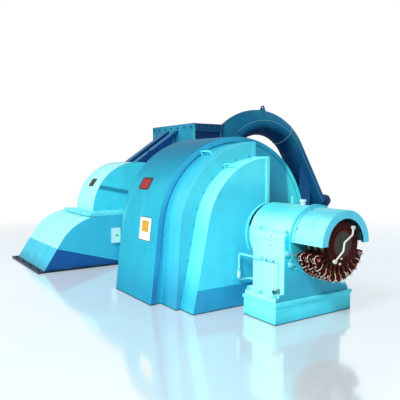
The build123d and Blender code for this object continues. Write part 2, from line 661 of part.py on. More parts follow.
def crown_fitting(radius, height, x):
    """A round fitting on top of the barrel, its foot cut to the barrel's curve."""
    top = SHAFT_HEIGHT + BARREL_RADIUS + height
    low = SHAFT_HEIGHT + BARREL_RADIUS / 2
    fitting = Pos(x, 0, low) * Cylinder(radius, top - low, align=(Align.CENTER, Align.CENTER, Align.MIN))
    return fitting - x_cylinder(BARREL_RADIUS, x - 2 * radius, x + 2 * radius)


def oil_filler():
    """The filler neck with its wider cap."""
    x = PEDESTAL_FRONT - FILLER_FROM_FRONT
    neck = crown_fitting(FILLER_RADIUS, FILLER_HEIGHT, x)
    cap_low = SHAFT_HEIGHT + BARREL_RADIUS + FILLER_HEIGHT - FILLER_CAP_HEIGHT
    cap = Cylinder(FILLER_CAP_RADIUS, FILLER_CAP_HEIGHT, align=(Align.CENTER, Align.CENTER, Align.MIN))
    cap = fillet(cap.edges().sort_by(Axis.Z)[-1], FILLER_CAP_HEIGHT / 4)
    return neck + Pos(x, 0, cap_low) * cap


def oil_breather():
    """The thin breather standing beside the filler."""
    x = PEDESTAL_FRONT - FILLER_FROM_FRONT - BREATHER_FROM_FILLER
    return crown_fitting(BREATHER_RADIUS, BREATHER_HEIGHT, x)


def pedestal_plugs():
    """Round plugs with square heads on the pedestal's front face."""
    plugs = []
    for y, drop in PLUG_PLACES:
        z = SHAFT_HEIGHT - drop
        plug = x_cylinder(PLUG_RADIUS, PEDESTAL_FRONT, PEDESTAL_FRONT + PLUG_LENGTH / 2, y, z)
        head = Plane.YZ.offset(PEDESTAL_FRONT) * Pos(y, z) * RegularPolygon(PLUG_HEX_RADIUS, 6)
        plugs.append(plug + extrude(head, amount=PLUG_LENGTH))
    return Compound(plugs)


def casing_face():
    """The low casing's cross-section: straight leaning sides, round shoulders, flat top."""
    rise = CASING_TOP - BASE_FLANGE_THICKNESS
    top_corner = CASING_FOOT_HALF_WIDTH - rise / math.tan(math.radians(CASING_LEAN))
    set_back = CASING_SHOULDER_RADIUS * math.tan(math.radians(CASING_LEAN / 2))
    turn = math.radians(CASING_LEAN)
    side_y = top_corner + set_back * math.cos(turn)
    side_z = CASING_TOP - set_back * math.sin(turn)
    flat_y = top_corner - set_back
    half_turn = turn / 2
    bulge_y = flat_y + CASING_SHOULDER_RADIUS * math.sin(half_turn)
    bulge_z = CASING_TOP - CASING_SHOULDER_RADIUS * (1 - math.cos(half_turn))
    foot = (CASING_FOOT_HALF_WIDTH, BASE_FLANGE_THICKNESS)
    return make_face([
        Line((-foot[0], foot[1]), foot),
        Line(foot, (side_y, side_z)),
        ThreePointArc((side_y, side_z), (bulge_y, bulge_z), (flat_y, CASING_TOP)),
        Line((flat_y, CASING_TOP), (-flat_y, CASING_TOP)),
        ThreePointArc((-flat_y, CASING_TOP), (-bulge_y, bulge_z), (-side_y, side_z)),
        Line((-side_y, side_z), (-foot[0], foot[1])),
    ])


def casing_solid():
    """The whole low casing before its openings."""
    start = TURBINE_CENTRE - CASING_HALF_LENGTH
    return extrude(Plane.YZ.offset(start) * casing_face(), amount=2 * CASING_HALF_LENGTH)


def shaft_housing_space():
    """The trough and hole that the shaft's housing passes through."""
    return x_cylinder(SHAFT_HOUSING_RADIUS + SEAT_CLEARANCE, HOOD_FRONT, CASING_FRONT + HOOD_PLATE_MARGIN)


def shaft_end_space():
    """The blind hole round the shaft's end, inside the turbine."""
    return x_cylinder(TUNNEL_RADIUS, SHAFT_START - SHAFT_TUNNEL_CLEARANCE, HOOD_FRONT)


def turbine_casing():
    """The low, wide lower casing."""
    return casing_solid() - shaft_housing_space() - shaft_end_space()


def turbine_base_flange():
    """The plate on the floor round the casing's foot."""
    half_length = CASING_HALF_LENGTH + BASE_FLANGE_MARGIN
    half_width = CASING_FOOT_HALF_WIDTH + BASE_FLANGE_SIDE_MARGIN
    return block((TURBINE_CENTRE - half_length, TURBINE_CENTRE + half_length), (-half_width, half_width),
                 (0, BASE_FLANGE_THICKNESS))


def hood_plate():
    """The split flange between the casing and the hood, grooved where its two plates meet."""
    back = TURBINE_CENTRE - TURBINE_HOOD_HALF_LENGTH - HOOD_PLATE_REAR_MARGIN
    front = CASING_FRONT + HOOD_PLATE_MARGIN
    side = HOOD_PLATE_INSET - CASING_FOOT_HALF_WIDTH
    plate = block((back, front), (side, CHAMBER_NEAR_Y), (CASING_TOP, HOOD_PLATE_TOP))
    middle = (CASING_TOP + HOOD_PLATE_TOP) / 2
    groove = block((back, front), (side, CHAMBER_NEAR_Y),
                   (middle - HOOD_PLATE_GROOVE / 2, middle + HOOD_PLATE_GROOVE / 2))
    depth = HOOD_PLATE_GROOVE_DEPTH
    groove -= block((back + depth, front - depth), (side + depth, CHAMBER_NEAR_Y), (CASING_TOP, HOOD_PLATE_TOP))
    return plate - groove - shaft_housing_space() - shaft_end_space()


def hood_cylinder(radius, half_length):
    """A round drum about the shaft line at the turbine."""
    return x_cylinder(radius, TURBINE_CENTRE - half_length, TURBINE_CENTRE + half_length)


def turbine_hood():
    """The half-round hood over the runner."""
    drum = hood_cylinder(TURBINE_HOOD_RADIUS, TURBINE_HOOD_HALF_LENGTH)
    reach = 2 * TURBINE_HOOD_RADIUS
    x_range = (TURBINE_CENTRE - TURBINE_HOOD_HALF_LENGTH, HOOD_FRONT)
    upper = block(x_range, (-reach, reach), (HOOD_PLATE_TOP, SHAFT_HEIGHT + reach))
    return (drum & upper) - shaft_end_space()


def shaft_housing():
    """The round housing over the shaft between the hood and the rear bearing's flange."""
    return x_ring(SHAFT_HOUSING_RADIUS, TUNNEL_RADIUS, HOOD_FRONT, -BRUSH_BACK - SEAT_CLEARANCE)


def duct_corners():
    """The duct's apex at the chamber and its two edges on the round hood, each as (Y, Z)."""
    apex = (CHAMBER_NEAR_Y, CHAMBER_TOP - DUCT_APEX_DROP)
    seat = TURBINE_HOOD_RADIUS + SEAT_CLEARANCE
    return apex, around_shaft(DUCT_FRONT_ANGLE, seat), around_shaft(DUCT_BACK_ANGLE, seat)


def duct_section():
    """The wedge between the hood and the chamber, in the cross plane."""
    apex, front, back = duct_corners()
    hood = around_shaft((DUCT_FRONT_ANGLE + DUCT_BACK_ANGLE) / 2, TURBINE_HOOD_RADIUS + SEAT_CLEARANCE)
    return make_face([Line(apex, front), ThreePointArc(front, hood, back), Line(back, apex)])


def duct_slope():
    """The slope of the duct's upper edge in degrees, and that edge's length."""
    apex, front, _ = duct_corners()
    rise, run = apex[1] - front[1], apex[0] - front[0]
    return math.degrees(math.atan2(rise, run)), math.hypot(rise, run)


def injector_duct():
    """The slanted duct from the hood to the chamber, lower than the ribs on both sides of it."""
    apex, _, _ = duct_corners()
    slope, length = duct_slope()
    strip = Pos(*apex) * Rot(0, 0, slope) * Rectangle(4 * length, 2 * DUCT_RECESS)
    half = DUCT_HALF_WIDTH - DUCT_RIB_WIDTH
    return extrude(Plane.YZ.offset(TURBINE_CENTRE - half) * (duct_section() - strip), amount=2 * half)


def duct_rails():
    """The two deep ribs beside the duct, and the lifting lug on the one that faces the generator."""
    ribs = []
    for start in (-DUCT_HALF_WIDTH, DUCT_HALF_WIDTH - DUCT_RIB_WIDTH):
        ribs.append(extrude(Plane.YZ.offset(TURBINE_CENTRE + start) * duct_section(), amount=DUCT_RIB_WIDTH))
    apex, _, _ = duct_corners()
    slope, length = duct_slope()
    foot = Pos(*apex) * Rot(0, 0, slope) * Pos(-(1 - DUCT_LUG_PLACE) * length, 0)
    ear = Circle(DUCT_LUG_RADIUS) - Pos(0, DUCT_LUG_RADIUS / 2) * Circle(DUCT_LUG_HOLE_RADIUS)
    lug_face = Plane.YZ.offset(TURBINE_CENTRE + DUCT_HALF_WIDTH - DUCT_LUG_THICKNESS)
    ribs[1] += extrude(lug_face * (foot * ear), amount=DUCT_LUG_THICKNESS)
    return Compound(ribs)


def nozzle_chamber():
    """The tall box beside the hood, standing on the casing, with a sunk panel at each end."""
    x_range = (TURBINE_CENTRE - CHAMBER_HALF_LENGTH, TURBINE_CENTRE + CHAMBER_HALF_LENGTH)
    z_range = (BASE_FLANGE_THICKNESS, CHAMBER_TOP - CHAMBER_LID_THICKNESS)
    box = block(x_range, (CHAMBER_NEAR_Y, CHAMBER_FAR_Y), z_range)
    box -= casing_solid()
    panel_y = (CHAMBER_NEAR_Y + CHAMBER_PANEL_POST, CHAMBER_FAR_Y - CHAMBER_PANEL_POST)
    panel_z = (CASING_TOP + CHAMBER_PANEL_BAND, CHAMBER_TOP - CHAMBER_PANEL_BAND)
    for face_x, inward in ((x_range[0], 1), (x_range[1], -1)):
        ends = sorted((face_x, face_x + inward * CHAMBER_PANEL_RECESS))
        box -= block(ends, panel_y, panel_z)
    return box


def chamber_lid():
    """The flat lid on the chamber."""
    over = CHAMBER_LID_OVERHANG
    half = CHAMBER_HALF_LENGTH + over
    return block((TURBINE_CENTRE - half, TURBINE_CENTRE + half), (CHAMBER_NEAR_Y, CHAMBER_FAR_Y + over),
                 (CHAMBER_TOP - CHAMBER_LID_THICKNESS, CHAMBER_TOP))


def casing_box():
    """The small box on the casing's face towards the generator."""
    half = BRACKET_WIDTH / 2
    top = CASING_TOP - BRACKET_DROP
    front = CASING_FRONT + BRACKET_DEPTH
    box = block((CASING_FRONT, front), (BRACKET_Y - half, BRACKET_Y + half), (top - BRACKET_HEIGHT, top))
    outer = box.edges().filter_by_position(Axis.X, front - PLANE_TOLERANCE, front + PLANE_TOLERANCE)
    return fillet(outer, CASING_EDGE_RADIUS)


def on_pipe_plane(y, z):
    """A point in the upright plane of the feed pipe."""
    return Vector(TURBINE_CENTRE, y, z)


def pipe_line():
    """The pipe's centreline: its start, both directions, and the bend's start and end."""
    climb = math.radians(PIPE_CLIMB_ANGLE)
    fall = math.radians(PIPE_FALL_ANGLE)
    entry = on_pipe_plane(CHAMBER_FAR_Y, SHAFT_HEIGHT + PIPE_ENTRY_RISE)
    up = Vector(0, math.cos(climb), math.sin(climb))
    down = Vector(0, math.cos(fall), -math.sin(fall))
    corner = entry + up * PIPE_CORNER_RUN
    set_back = PIPE_BEND_RADIUS * math.tan((climb + fall) / 2)
    bend_start = corner - up * set_back
    bend_end = corner + down * set_back
    return entry, up, down, bend_start, bend_end


def pipe_ring():
    """The pipe's wall in section."""
    return Circle(PIPE_OUTER_RADIUS) - Circle(PIPE_BORE_RADIUS)


def straight_pipe(start, direction, length):
    """A straight length of the pipe."""
    return extrude(Plane(start, z_dir=direction) * pipe_ring(), amount=length)


def beyond_chamber():
    """All the space on the pipe's side of the chamber's far face."""
    reach = 2 * CHAMBER_TOP
    x_range = (TURBINE_CENTRE - reach, TURBINE_CENTRE + reach)
    return block(x_range, (CHAMBER_FAR_Y, CHAMBER_FAR_Y + reach), (0, reach))


def pipe_branch():
    """The straight pipe out of the chamber, cut to its face."""
    entry, up, _, bend_start, _ = pipe_line()
    inside = entry - up * (2 * PIPE_OUTER_RADIUS)
    length = (bend_start - inside).length
    return straight_pipe(inside, up, length) & beyond_chamber()


def branch_collar():
    """The reinforcing collar where the pipe leaves the chamber."""
    entry, up, _, _, _ = pipe_line()
    inside = entry - up * (2 * PIPE_OUTER_RADIUS)
    outer = PIPE_OUTER_RADIUS + PIPE_COLLAR_HEIGHT
    ring = Circle(outer) - Circle(PIPE_OUTER_RADIUS + SEAT_CLEARANCE)
    collar = extrude(Plane(inside, z_dir=up) * ring, amount=4 * PIPE_OUTER_RADIUS)
    reach = 2 * CHAMBER_TOP
    slab = block((-reach, reach), (CHAMBER_FAR_Y, CHAMBER_FAR_Y + PIPE_COLLAR_WIDTH), (0, reach))
    return collar & slab


def bend_centre():
    """The centre of the bend's arc."""
    _, up, _, bend_start, _ = pipe_line()
    return bend_start + Vector(0, up.Z, -up.Y) * PIPE_BEND_RADIUS


def pipe_bend(start, end):
    """A shell of the arched bend between two angles past its crown."""
    points = []
    for angle in (start, (start + end) / 2, end):
        turn = math.radians(angle)
        points.append(bend_centre() + Vector(0, math.sin(turn), math.cos(turn)) * PIPE_BEND_RADIUS)
    arc = ThreePointArc(*points)
    return sweep(Plane(arc @ 0, z_dir=arc % 0) * pipe_ring(), path=arc)


def pipe_leg():
    """The straight leg down to the inlet flange."""
    _, _, down, _, bend_end = pipe_line()
    return straight_pipe(bend_end, down, PIPE_LEG_LENGTH)


def inlet_flange():
    """The drilled flange at the foot of the leg, slipped over the pipe and hubbed at the back."""
    _, _, down, _, bend_end = pipe_line()
    face = bend_end + down * PIPE_LEG_LENGTH
    bore = Circle(PIPE_OUTER_RADIUS + SEAT_CLEARANCE)
    disc = Circle(FLANGE_RADIUS) - bore
    disc -= PolarLocations(FLANGE_BOLT_CIRCLE_RADIUS, FLANGE_BOLT_COUNT) * Circle(FLANGE_HOLE_RADIUS)
    plane = Plane(face, x_dir=(1, 0, 0), z_dir=-down)
    flange = extrude(plane * disc, amount=FLANGE_THICKNESS)
    hub = extrude(plane.offset(FLANGE_THICKNESS) * (Circle(FLANGE_HUB_RADIUS) - bore), amount=FLANGE_HUB_LENGTH)
    return flange + hub


def pipe_lug():
    """The tapered lifting lug just past the bend's crown."""
    crown = PIPE_BEND_RADIUS + PIPE_OUTER_RADIUS
    eye_height = crown + PIPE_LUG_HEIGHT - PIPE_LUG_HEAD_RADIUS
    half = PIPE_LUG_WIDTH / 2
    foot = crown - PIPE_LUG_HEAD_RADIUS
    plate = make_face(Polyline(
        (-half, foot), (-half, crown), (-PIPE_LUG_HEAD_RADIUS, eye_height), (PIPE_LUG_HEAD_RADIUS, eye_height),
        (half, crown), (half, foot), close=True))
    plate += Pos(0, eye_height) * Circle(PIPE_LUG_HEAD_RADIUS)
    plate -= Pos(0, eye_height) * Circle(PIPE_LUG_HOLE_RADIUS)
    plate -= Circle(crown + SEAT_CLEARANCE)
    middle = bend_centre() - Vector(PIPE_LUG_THICKNESS / 2, 0, 0)
    plane = Plane(middle, x_dir=(0, 1, 0), z_dir=(1, 0, 0))
    return extrude(plane * (Rot(0, 0, -PIPE_LUG_TURN) * plate), amount=PIPE_LUG_THICKNESS)


def pipe_support():
    """The welded stand under the leg: foot plate, cross web and side cheeks cut to the pipe."""
    _, _, down, _, bend_end = pipe_line()
    middle = bend_end + down * SUPPORT_RUN
    half = SUPPORT_HALF_WIDTH
    y_range = (middle.Y - SUPPORT_LENGTH, middle.Y)
    foot = block((TURBINE_CENTRE - half - SUPPORT_FOOT_MARGIN, TURBINE_CENTRE + half + SUPPORT_FOOT_MARGIN),
                 (y_range[0] - SUPPORT_FOOT_MARGIN, y_range[1] + SUPPORT_FOOT_MARGIN), (0, SUPPORT_FOOT_THICKNESS))
    web_middle = sum(y_range) / 2
    web_y = (web_middle - SUPPORT_WEB / 2, web_middle + SUPPORT_WEB / 2)
    top = bend_end.Z
    stand = foot + block((TURBINE_CENTRE - half, TURBINE_CENTRE + half), web_y, (0, top))
    for side in (-1, 0, 1):
        x = TURBINE_CENTRE + side * (half - SUPPORT_WEB / 2)
        stand += block((x - SUPPORT_WEB / 2, x + SUPPORT_WEB / 2), y_range, (0, top))
    clear_radius = PIPE_OUTER_RADIUS + SEAT_CLEARANCE
    over_pipe = Pos(0, -top) * Rectangle(4 * clear_radius, 2 * top)
    along_leg = Plane(bend_end - down * top, x_dir=(1, 0, 0), z_dir=down)
    return stand - extrude(along_leg * (Circle(clear_radius) + over_pipe), amount=3 * top)


def assembly():
    """Every node of the set by name."""
    return {
        "stator_housing": stator_housing(),
        "front_end_plate": end_plate(),
        "rear_end_plate": mirrored(end_plate()),
        "front_air_cover": air_cover(),
        "rear_air_cover": turned_round(air_cover()),
        "front_end_cover": end_cover(),
        "rear_end_cover": turned_round(end_cover()),
        "front_seal_ring": seal_ring(),
        "rear_seal_ring": turned_round(seal_ring()),
        "front_cover_handles": cover_handles(),
        "rear_cover_handles": turned_round(cover_handles()),
        "front_bearing_base": bearing_base(),
        "rear_bearing_base": mirrored(bearing_base()),
        "front_bearing_pedestal": bearing_pedestal(),
        "rear_bearing_pedestal": mirrored(bearing_pedestal()),
        "front_bearing_cap": bearing_cap(),
        "rear_bearing_cap": mirrored(bearing_cap()),
        "front_bearing_liner": bearing_liner(),
        "rear_bearing_liner": mirrored(bearing_liner()),
        "front_bearing_flange": bearing_flange(),
        "rear_bearing_flange": mirrored(bearing_flange()),
        "brush_hood": brush_hood(),
        "brush_yokes": brush_yokes(),
        "brush_holders": brush_holders(),
        "brush_studs": brush_studs(),
        "terminal_knobs": terminal_knobs(),
        "oil_level_pipe": oil_level_pipe(),
        "oil_level_glass": oil_level_glass(),
        "oil_drain_pipe": oil_drain_pipe(),
        "oil_drain_valve": oil_drain_valve(),
        "oil_filler": oil_filler(),
        "oil_breather": oil_breather(),
        "pedestal_plugs": pedestal_plugs(),
        "turbine_base_flange": turbine_base_flange(),
        "turbine_casing": turbine_casing(),
        "turbine_hood_plate": hood_plate(),
        "turbine_hood": turbine_hood(),
        "turbine_shaft_housing": shaft_housing(),
        "casing_box": casing_box(),
        "injector_duct": injector_duct(),
        "duct_rails": duct_rails(),
        "nozzle_chamber": nozzle_chamber(),
        "chamber_lid": chamber_lid(),
        "pipe_branch": pipe_branch(),
        "branch_collar": branch_collar(),
        "pipe_bend_rise": pipe_bend(-PIPE_CLIMB_ANGLE, PIPE_SEAM_ANGLES[0]),
        "pipe_bend_crown": pipe_bend(*PIPE_SEAM_ANGLES),
        "pipe_bend_fall": pipe_bend(PIPE_SEAM_ANGLES[1], PIPE_FALL_ANGLE),
        "pipe_leg": pipe_leg(),
        "pipe_lug": pipe_lug(),
        "inlet_flange": inlet_flange(),
        "pipe_support": pipe_support(),
        "main_shaft": main_shaft(),
        "slip_ring_drum": slip_ring_drum(),
        "slip_rings": slip_rings(),
        "slip_ring_lead": slip_ring_lead(),
    }


os.makedirs("parts", exist_ok=True)
for name, piece in assembly().items():
    export_step(piece, f"parts/{name}.step")
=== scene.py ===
"""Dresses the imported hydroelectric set: enamel, varnish and metals on every piece, and the bolts,
weld seams, plates, unions and brush gear that its solids don't hold.

Metres, in the frame of the solids: X runs along the shaft towards the slip rings, Y across it
towards the feed pipe, Z up from the floor.
"""

from functools import cached_property
from math import asin, atan2, cos, hypot, pi, radians, sin, sqrt

import bmesh
import bpy
from bpy.props import FloatProperty, FloatVectorProperty, IntProperty, PointerProperty
from mathutils import Matrix, Vector


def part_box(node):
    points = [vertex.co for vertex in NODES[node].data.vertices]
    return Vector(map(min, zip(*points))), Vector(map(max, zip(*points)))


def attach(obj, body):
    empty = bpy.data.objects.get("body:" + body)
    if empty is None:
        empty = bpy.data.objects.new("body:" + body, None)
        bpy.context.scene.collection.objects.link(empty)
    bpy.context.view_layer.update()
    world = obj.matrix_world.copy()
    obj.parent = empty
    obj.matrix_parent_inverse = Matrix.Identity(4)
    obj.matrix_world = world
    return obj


bl_info = {
    "name": "Hydroelectric set dressing",
    "version": (1, 0, 0),
    "blender": (4, 5, 0),
    "location": "3D View > Sidebar > Hydro set",
    "description": "Paints a horizontal hydroelectric set and adds its fasteners, seams and brush gear",
    "category": "Object",
}

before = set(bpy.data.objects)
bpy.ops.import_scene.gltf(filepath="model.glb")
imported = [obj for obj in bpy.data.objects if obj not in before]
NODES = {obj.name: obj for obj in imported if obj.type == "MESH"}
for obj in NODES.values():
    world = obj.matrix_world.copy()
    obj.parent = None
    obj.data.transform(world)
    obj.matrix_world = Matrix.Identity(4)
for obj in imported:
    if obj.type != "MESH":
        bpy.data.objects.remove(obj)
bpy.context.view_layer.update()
STATIONARY, ROTOR = "stationary_set", "rotor"
FRONT, REAR = 1, -1
SIDES = (-1, 1)
AHEAD, UP = (1, 0, 0), (0, 0, 1)
# The half covers stand at both ends, turned half round from one end to the other
BOTH_ENDS = (Matrix.Identity(4), Matrix.Rotation(pi, 4, "Z"))

# Measures of the solids that their boxes don't tell
SHAFT_HEIGHT = 0.815
SEAL_RADIUS = 0.338
HOOD_RADIUS, HOOD_OPENING = 0.337, 0.252
YOKE_EDGE = 0.384
STUD_CIRCLE = 0.346
KNOB_RADIUS = 0.036
TURBINE_HOOD_RADIUS = 0.808
PIPE_RADIUS = 0.255
BEND_RADIUS = 1.105
BEND_CENTRE = Vector((-2.648, 2.94047, 1.3392))
BEND_END = Vector((-2.648, 3.88062, 1.91984))
LEG_LENGTH = 1.49
# How steeply the pipe climbs into its bend and falls out of it, and where the seams between lie (degrees)
PIPE_CLIMB, PIPE_FALL = 38.36, 58.3
SEAM_ANGLES = (-1.0, 37.0)
LONG_SEAM_RISE = 0.027
BRUSH_ANGLES = [196 + 148 / 11 * (place + 0.5) for place in range(11)]
STUD_ANGLES = (202.0, 247.0, 293.0, 338.0)
LEAD_ENDS = ((0.132, 0.969), (-0.124, 0.655))
DRUM_STUDS = ((-0.020, 0.674), (-0.040, 0.623))

# The camera: where it stands, how far it is turned and dipped (radians), lens and sensor (mm)
EYE = (5.4054, -3.8513, 1.6)
YAW, PITCH = 0.587, 0.0727
LENS, SENSOR = 45.19, 36.0

# Rows and circles of the fasteners and brushes, and where the drain pipe, seams and lips lie
FOOT_ROW, CAP_ROW, ANCHOR_ROW = 0.514, 0.362, 1.782
FOOT_TOP, CAP_SHOULDER = 0.263, 0.907
PEDESTAL_SIDE = 0.430
FLANGE_CIRCLE, FACE_NUT_CIRCLE = 0.300, 0.382
DRAIN_PIPE_Y = -0.454
CASING_SEAMS = (-2.280, -3.011)
LIP_EDGE = (0.050, 0.044)
CARBON_CIRCLE, SPRING_CIRCLE, BRAID_CIRCLE, TERMINAL_CIRCLE = 0.2265, 0.284, 0.3435, 0.372
DRUM_SCREW_CIRCLE, SHAFT_BEAD_RADIUS = 0.206, 0.127

# The curved plates' places along the shaft and angles from +Y, and the side plate's place and size
ARCH_PLATE = (-0.215, 0.045), (145.9, 154.3)
HOOD_LABEL = (-2.755, -2.560), (139.3, 150.2)
SIDE_PLATE_X, SIDE_PLATE_HEIGHT = 0.1825, 0.8375
SIDE_PLATE, SIDE_PLATE_RIM, RIVET_INSET = (0.275, 0.265), 0.014, 0.0135


def srgb(red, green, blue):
    """A scene-linear colour from the 0 to 255 values of a paint chart."""
    shares = [channel / 255 for channel in (red, green, blue)]
    linear = [share / 12.92 if share <= 0.04045 else ((share + 0.055) / 1.055) ** 2.4 for share in shares]
    return (*linear, 1.0)


def low(node, axis):
    """The lowest place of a node along one axis."""
    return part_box(node)[0][axis]


def high(node, axis):
    """The highest place of a node along one axis."""
    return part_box(node)[1][axis]


# Faces that fasteners sit on, read from the frame or stepped off from what it gives. The yoke's and
# the knob's faces count from a brush plane.
PLATE_FACE = high("front_end_plate", 0)
AIR_FACE = PLATE_FACE + 0.330
END_FACE = AIR_FACE + 0.252
BASE_BACK = low("front_bearing_base", 0)
PEDESTAL_FRONT = low("front_bearing_flange", 0)
BRUSH_BACK = high("front_bearing_flange", 0)
HOOD_END = high("brush_hood", 0)
BRUSH_PLANES = [BRUSH_BACK + 0.096 + 0.090 * row for row in range(3)]
YOKE_FACE, KNOB_FACE = 0.011, 0.0513
DRUM_FRONT = high("slip_ring_drum", 0)
CASING_FRONT = high("turbine_casing", 0)
CASING_BACK = low("turbine_casing", 0)
HOOD_PLATE_TOP = high("turbine_hood_plate", 2)
CHAMBER_NEAR, CHAMBER_FAR = low("nozzle_chamber", 1), high("nozzle_chamber", 1)
CHAMBER_TOP, CHAMBER_BACK = high("nozzle_chamber", 2), low("nozzle_chamber", 0)


def paint_setting(name, description, *chart):
    """A colour that a user may change."""
    return FloatVectorProperty(
        name=name, description=description, subtype="COLOR", size=4, min=0.0, max=1.0, default=srgb(*chart))


def length_setting(name, description, least, most, size):
    """A length that a user may change."""
    return FloatProperty(name=name, description=description, unit="LENGTH", subtype="DISTANCE", min=least,
                         max=most, default=size)


def power_setting(name, description, watts):
    """A lamp's power that a user may change."""
    return FloatProperty(name=name, description=description, unit="POWER", min=0.0, default=watts)


class SetPaints(bpy.types.PropertyGroup):
    """Colours of the set's paints; faces are the surfaces that look along the shaft. Several colours are
    lighter or darker copies of one enamel that paint light and shade, as the comments mark.
    """
    housing: paint_setting("Housing", "Enamel of the generator's arched housing", 44, 172, 198)
    # Painted shade over the housing's round top
    housing_crown_shade: paint_setting("Housing crown", "Enamel over the housing's round top", 0, 110, 149)
    # Painted shade: a darker copy of the housing enamel on its rims
    housing_face_shade: paint_setting("Housing rims", "Enamel of the housing's rims", 50, 148, 188)
    # A lighter copy, painted light on the end plates; the covers' painted shadow goes over it
    end_plate: paint_setting("End plates", "Enamel of the plates sunk into the rims", 80, 244, 252)
    air_cover: paint_setting("Air covers", "Enamel of the larger half covers", 56, 195, 226)
    # Painted shade: a darker copy on the air covers' faces
    air_face_shade: paint_setting("Air cover faces", "Enamel of the larger half covers' faces", 70, 188, 214)
    # A lighter copy, painted light on the end covers' sides
    end_cover: paint_setting("End covers", "Enamel of the smaller half covers", 104, 248, 250)
    # Painted shade: a darker copy on the end covers' faces
    end_face_shade: paint_setting("End cover faces", "Enamel of the smaller half covers' faces", 73, 212, 238)
    bearing: paint_setting("Bearings", "Pale enamel of the pedestals and caps", 168, 250, 250)
    # Painted shade: a darker copy on the pedestals' faces
    bearing_face_shade: paint_setting("Bearing faces", "Pale enamel of the pedestals' faces", 66, 226, 242)
    hood: paint_setting("Brush hood", "Pale enamel of the hood over the brush gear", 146, 250, 250)
    # Painted shade: a darker copy on the hood's front ring
    hood_face_shade: paint_setting("Brush hood ring", "Pale enamel of the hood's front ring", 98, 216, 243)
    plinth: paint_setting("Plinths", "Enamel of the plinths under the bearings", 124, 250, 252)
    # Painted shade: a darker copy on the plinths' faces
    plinth_face_shade: paint_setting("Plinth faces", "Enamel of the plinths' faces", 84, 232, 249)
    # A pale copy, painted light on the casing's leaning sides
    casing: paint_setting("Casing", "Enamel of the turbine casing's leaning sides", 160, 250, 252)
    # Painted shadow on the leaning sides' lower band
    casing_foot_shadow: paint_setting("Casing foot", "Enamel of the leaning sides' lower band", 44, 197, 225)
    # Painted shade: a darker copy on the casing's upright faces
    casing_face_shade: paint_setting("Casing faces", "Enamel of the casing's upright faces", 58, 186, 219)
    # Painted shadow: navy band across the casing's front faces at their foot
    foot_shadow_band: paint_setting("Splash band", "Navy band along the casing's foot", 10, 84, 152)
    # A pale copy, painted light on the turbine hood's round side
    turbine_hood: paint_setting("Turbine hood", "Enamel of the turbine hood's round side", 166, 250, 252)
    # Painted shade: a darker copy on the turbine hood's faces
    turbine_face_shade: paint_setting("Turbine hood faces", "Enamel of the turbine hood's faces", 72, 218, 240)
    chamber: paint_setting("Chamber", "Teal enamel of the nozzle chamber", 30, 146, 182)
    # Painted shade: a darker copy on the chamber's faces
    chamber_face_shade: paint_setting("Chamber faces", "Teal enamel of the chamber's faces", 4, 72, 116)
    # Painted shade in the chamber's sunk panels
    chamber_panel_shade: paint_setting("Chamber panels", "Navy enamel of the chamber's sunk panels", 4, 48, 98)
    duct: paint_setting("Duct", "Navy enamel of the slanted duct", 12, 84, 140)
    pipe: paint_setting("Feed pipe", "Teal enamel of the feed pipe", 20, 106, 144)
    # Painted shade under the feed pipe
    pipe_under: paint_setting("Feed pipe's underside", "Shaded enamel under the feed pipe", 2, 32, 76)
    flange: paint_setting("Inlet flange", "Navy enamel of the inlet flange", 8, 56, 100)
    stand: paint_setting("Pipe stand", "Blue enamel of the pipe's stand and lower leg", 18, 84, 140)
    varnish: paint_setting("Insulating varnish", "Maroon varnish of the brush yokes", 84, 14, 16)


class SetFasteners(bpy.types.PropertyGroup):
    """Sizes of the set's fasteners, weld beads, braids and springs."""
    cover_bolt: length_setting("Cover bolt", "Width across the flats of the cover bolts", 0.008, 0.06, 0.012)
    cover_pitch: length_setting("Cover bolt pitch", "Distance between cover bolts", 0.05, 0.5, 0.200)
    foot_bolt: length_setting("Foot bolt", "Width across the flats of the foot bolts", 0.02, 0.06, 0.036)
    chamber_pitch: length_setting(
        "Chamber bolt pitch", "Distance between the bolts under the chamber's lid", 0.05, 0.5, 0.235)
    weld_bead: length_setting("Weld bead", "Radius of a weld bead's section", 0.002, 0.02, 0.007)
    pigtail: length_setting("Pigtail", "Radius of a brush's braid", 0.001, 0.008, 0.0042)
    spring_turns: IntProperty(
        name="Spring turns", description="Turns of each brush's spring", min=2, max=8, default=4)


class SetStage(bpy.types.PropertyGroup):
    """The floor, the sky and the lamps round the set."""
    key_power: power_setting("Key lamp", "Power of the lamp at the front left", 640.0)
    fill_power: power_setting("Turbine lamp", "Power of the lamp beside the turbine", 110.0)
    far_power: power_setting("Far lamp", "Power of the lamp behind the set", 230.0)
    sky: FloatProperty(
        name="Sky", description="Strength of the even light from all round", min=0.0, max=2.0, default=0.30)
    floor_size: length_setting("Floor", "Radius of the round floor", 10.0, 200.0, 60.0)


class Value:
    """An output in a node tree; the numbers among them take Python's arithmetic."""

    def __init__(self, finish, socket):
        self.finish = finish
        self.socket = socket

    def _math(self, operation, first, second):
        return self.finish.node("ShaderNodeMath", {"operation": operation}, {0: first, 1: second})

    def __add__(self, other):
        return self._math("ADD", self, other)

    def __sub__(self, other):
        return self._math("SUBTRACT", self, other)

    def __rsub__(self, other):
        return self._math("SUBTRACT", other, self)

    def __mul__(self, other):
        return self._math("MULTIPLY", self, other)

    def __abs__(self):
        return self._math("ABSOLUTE", self, 0.0)

    __radd__, __rmul__ = __add__, __mul__


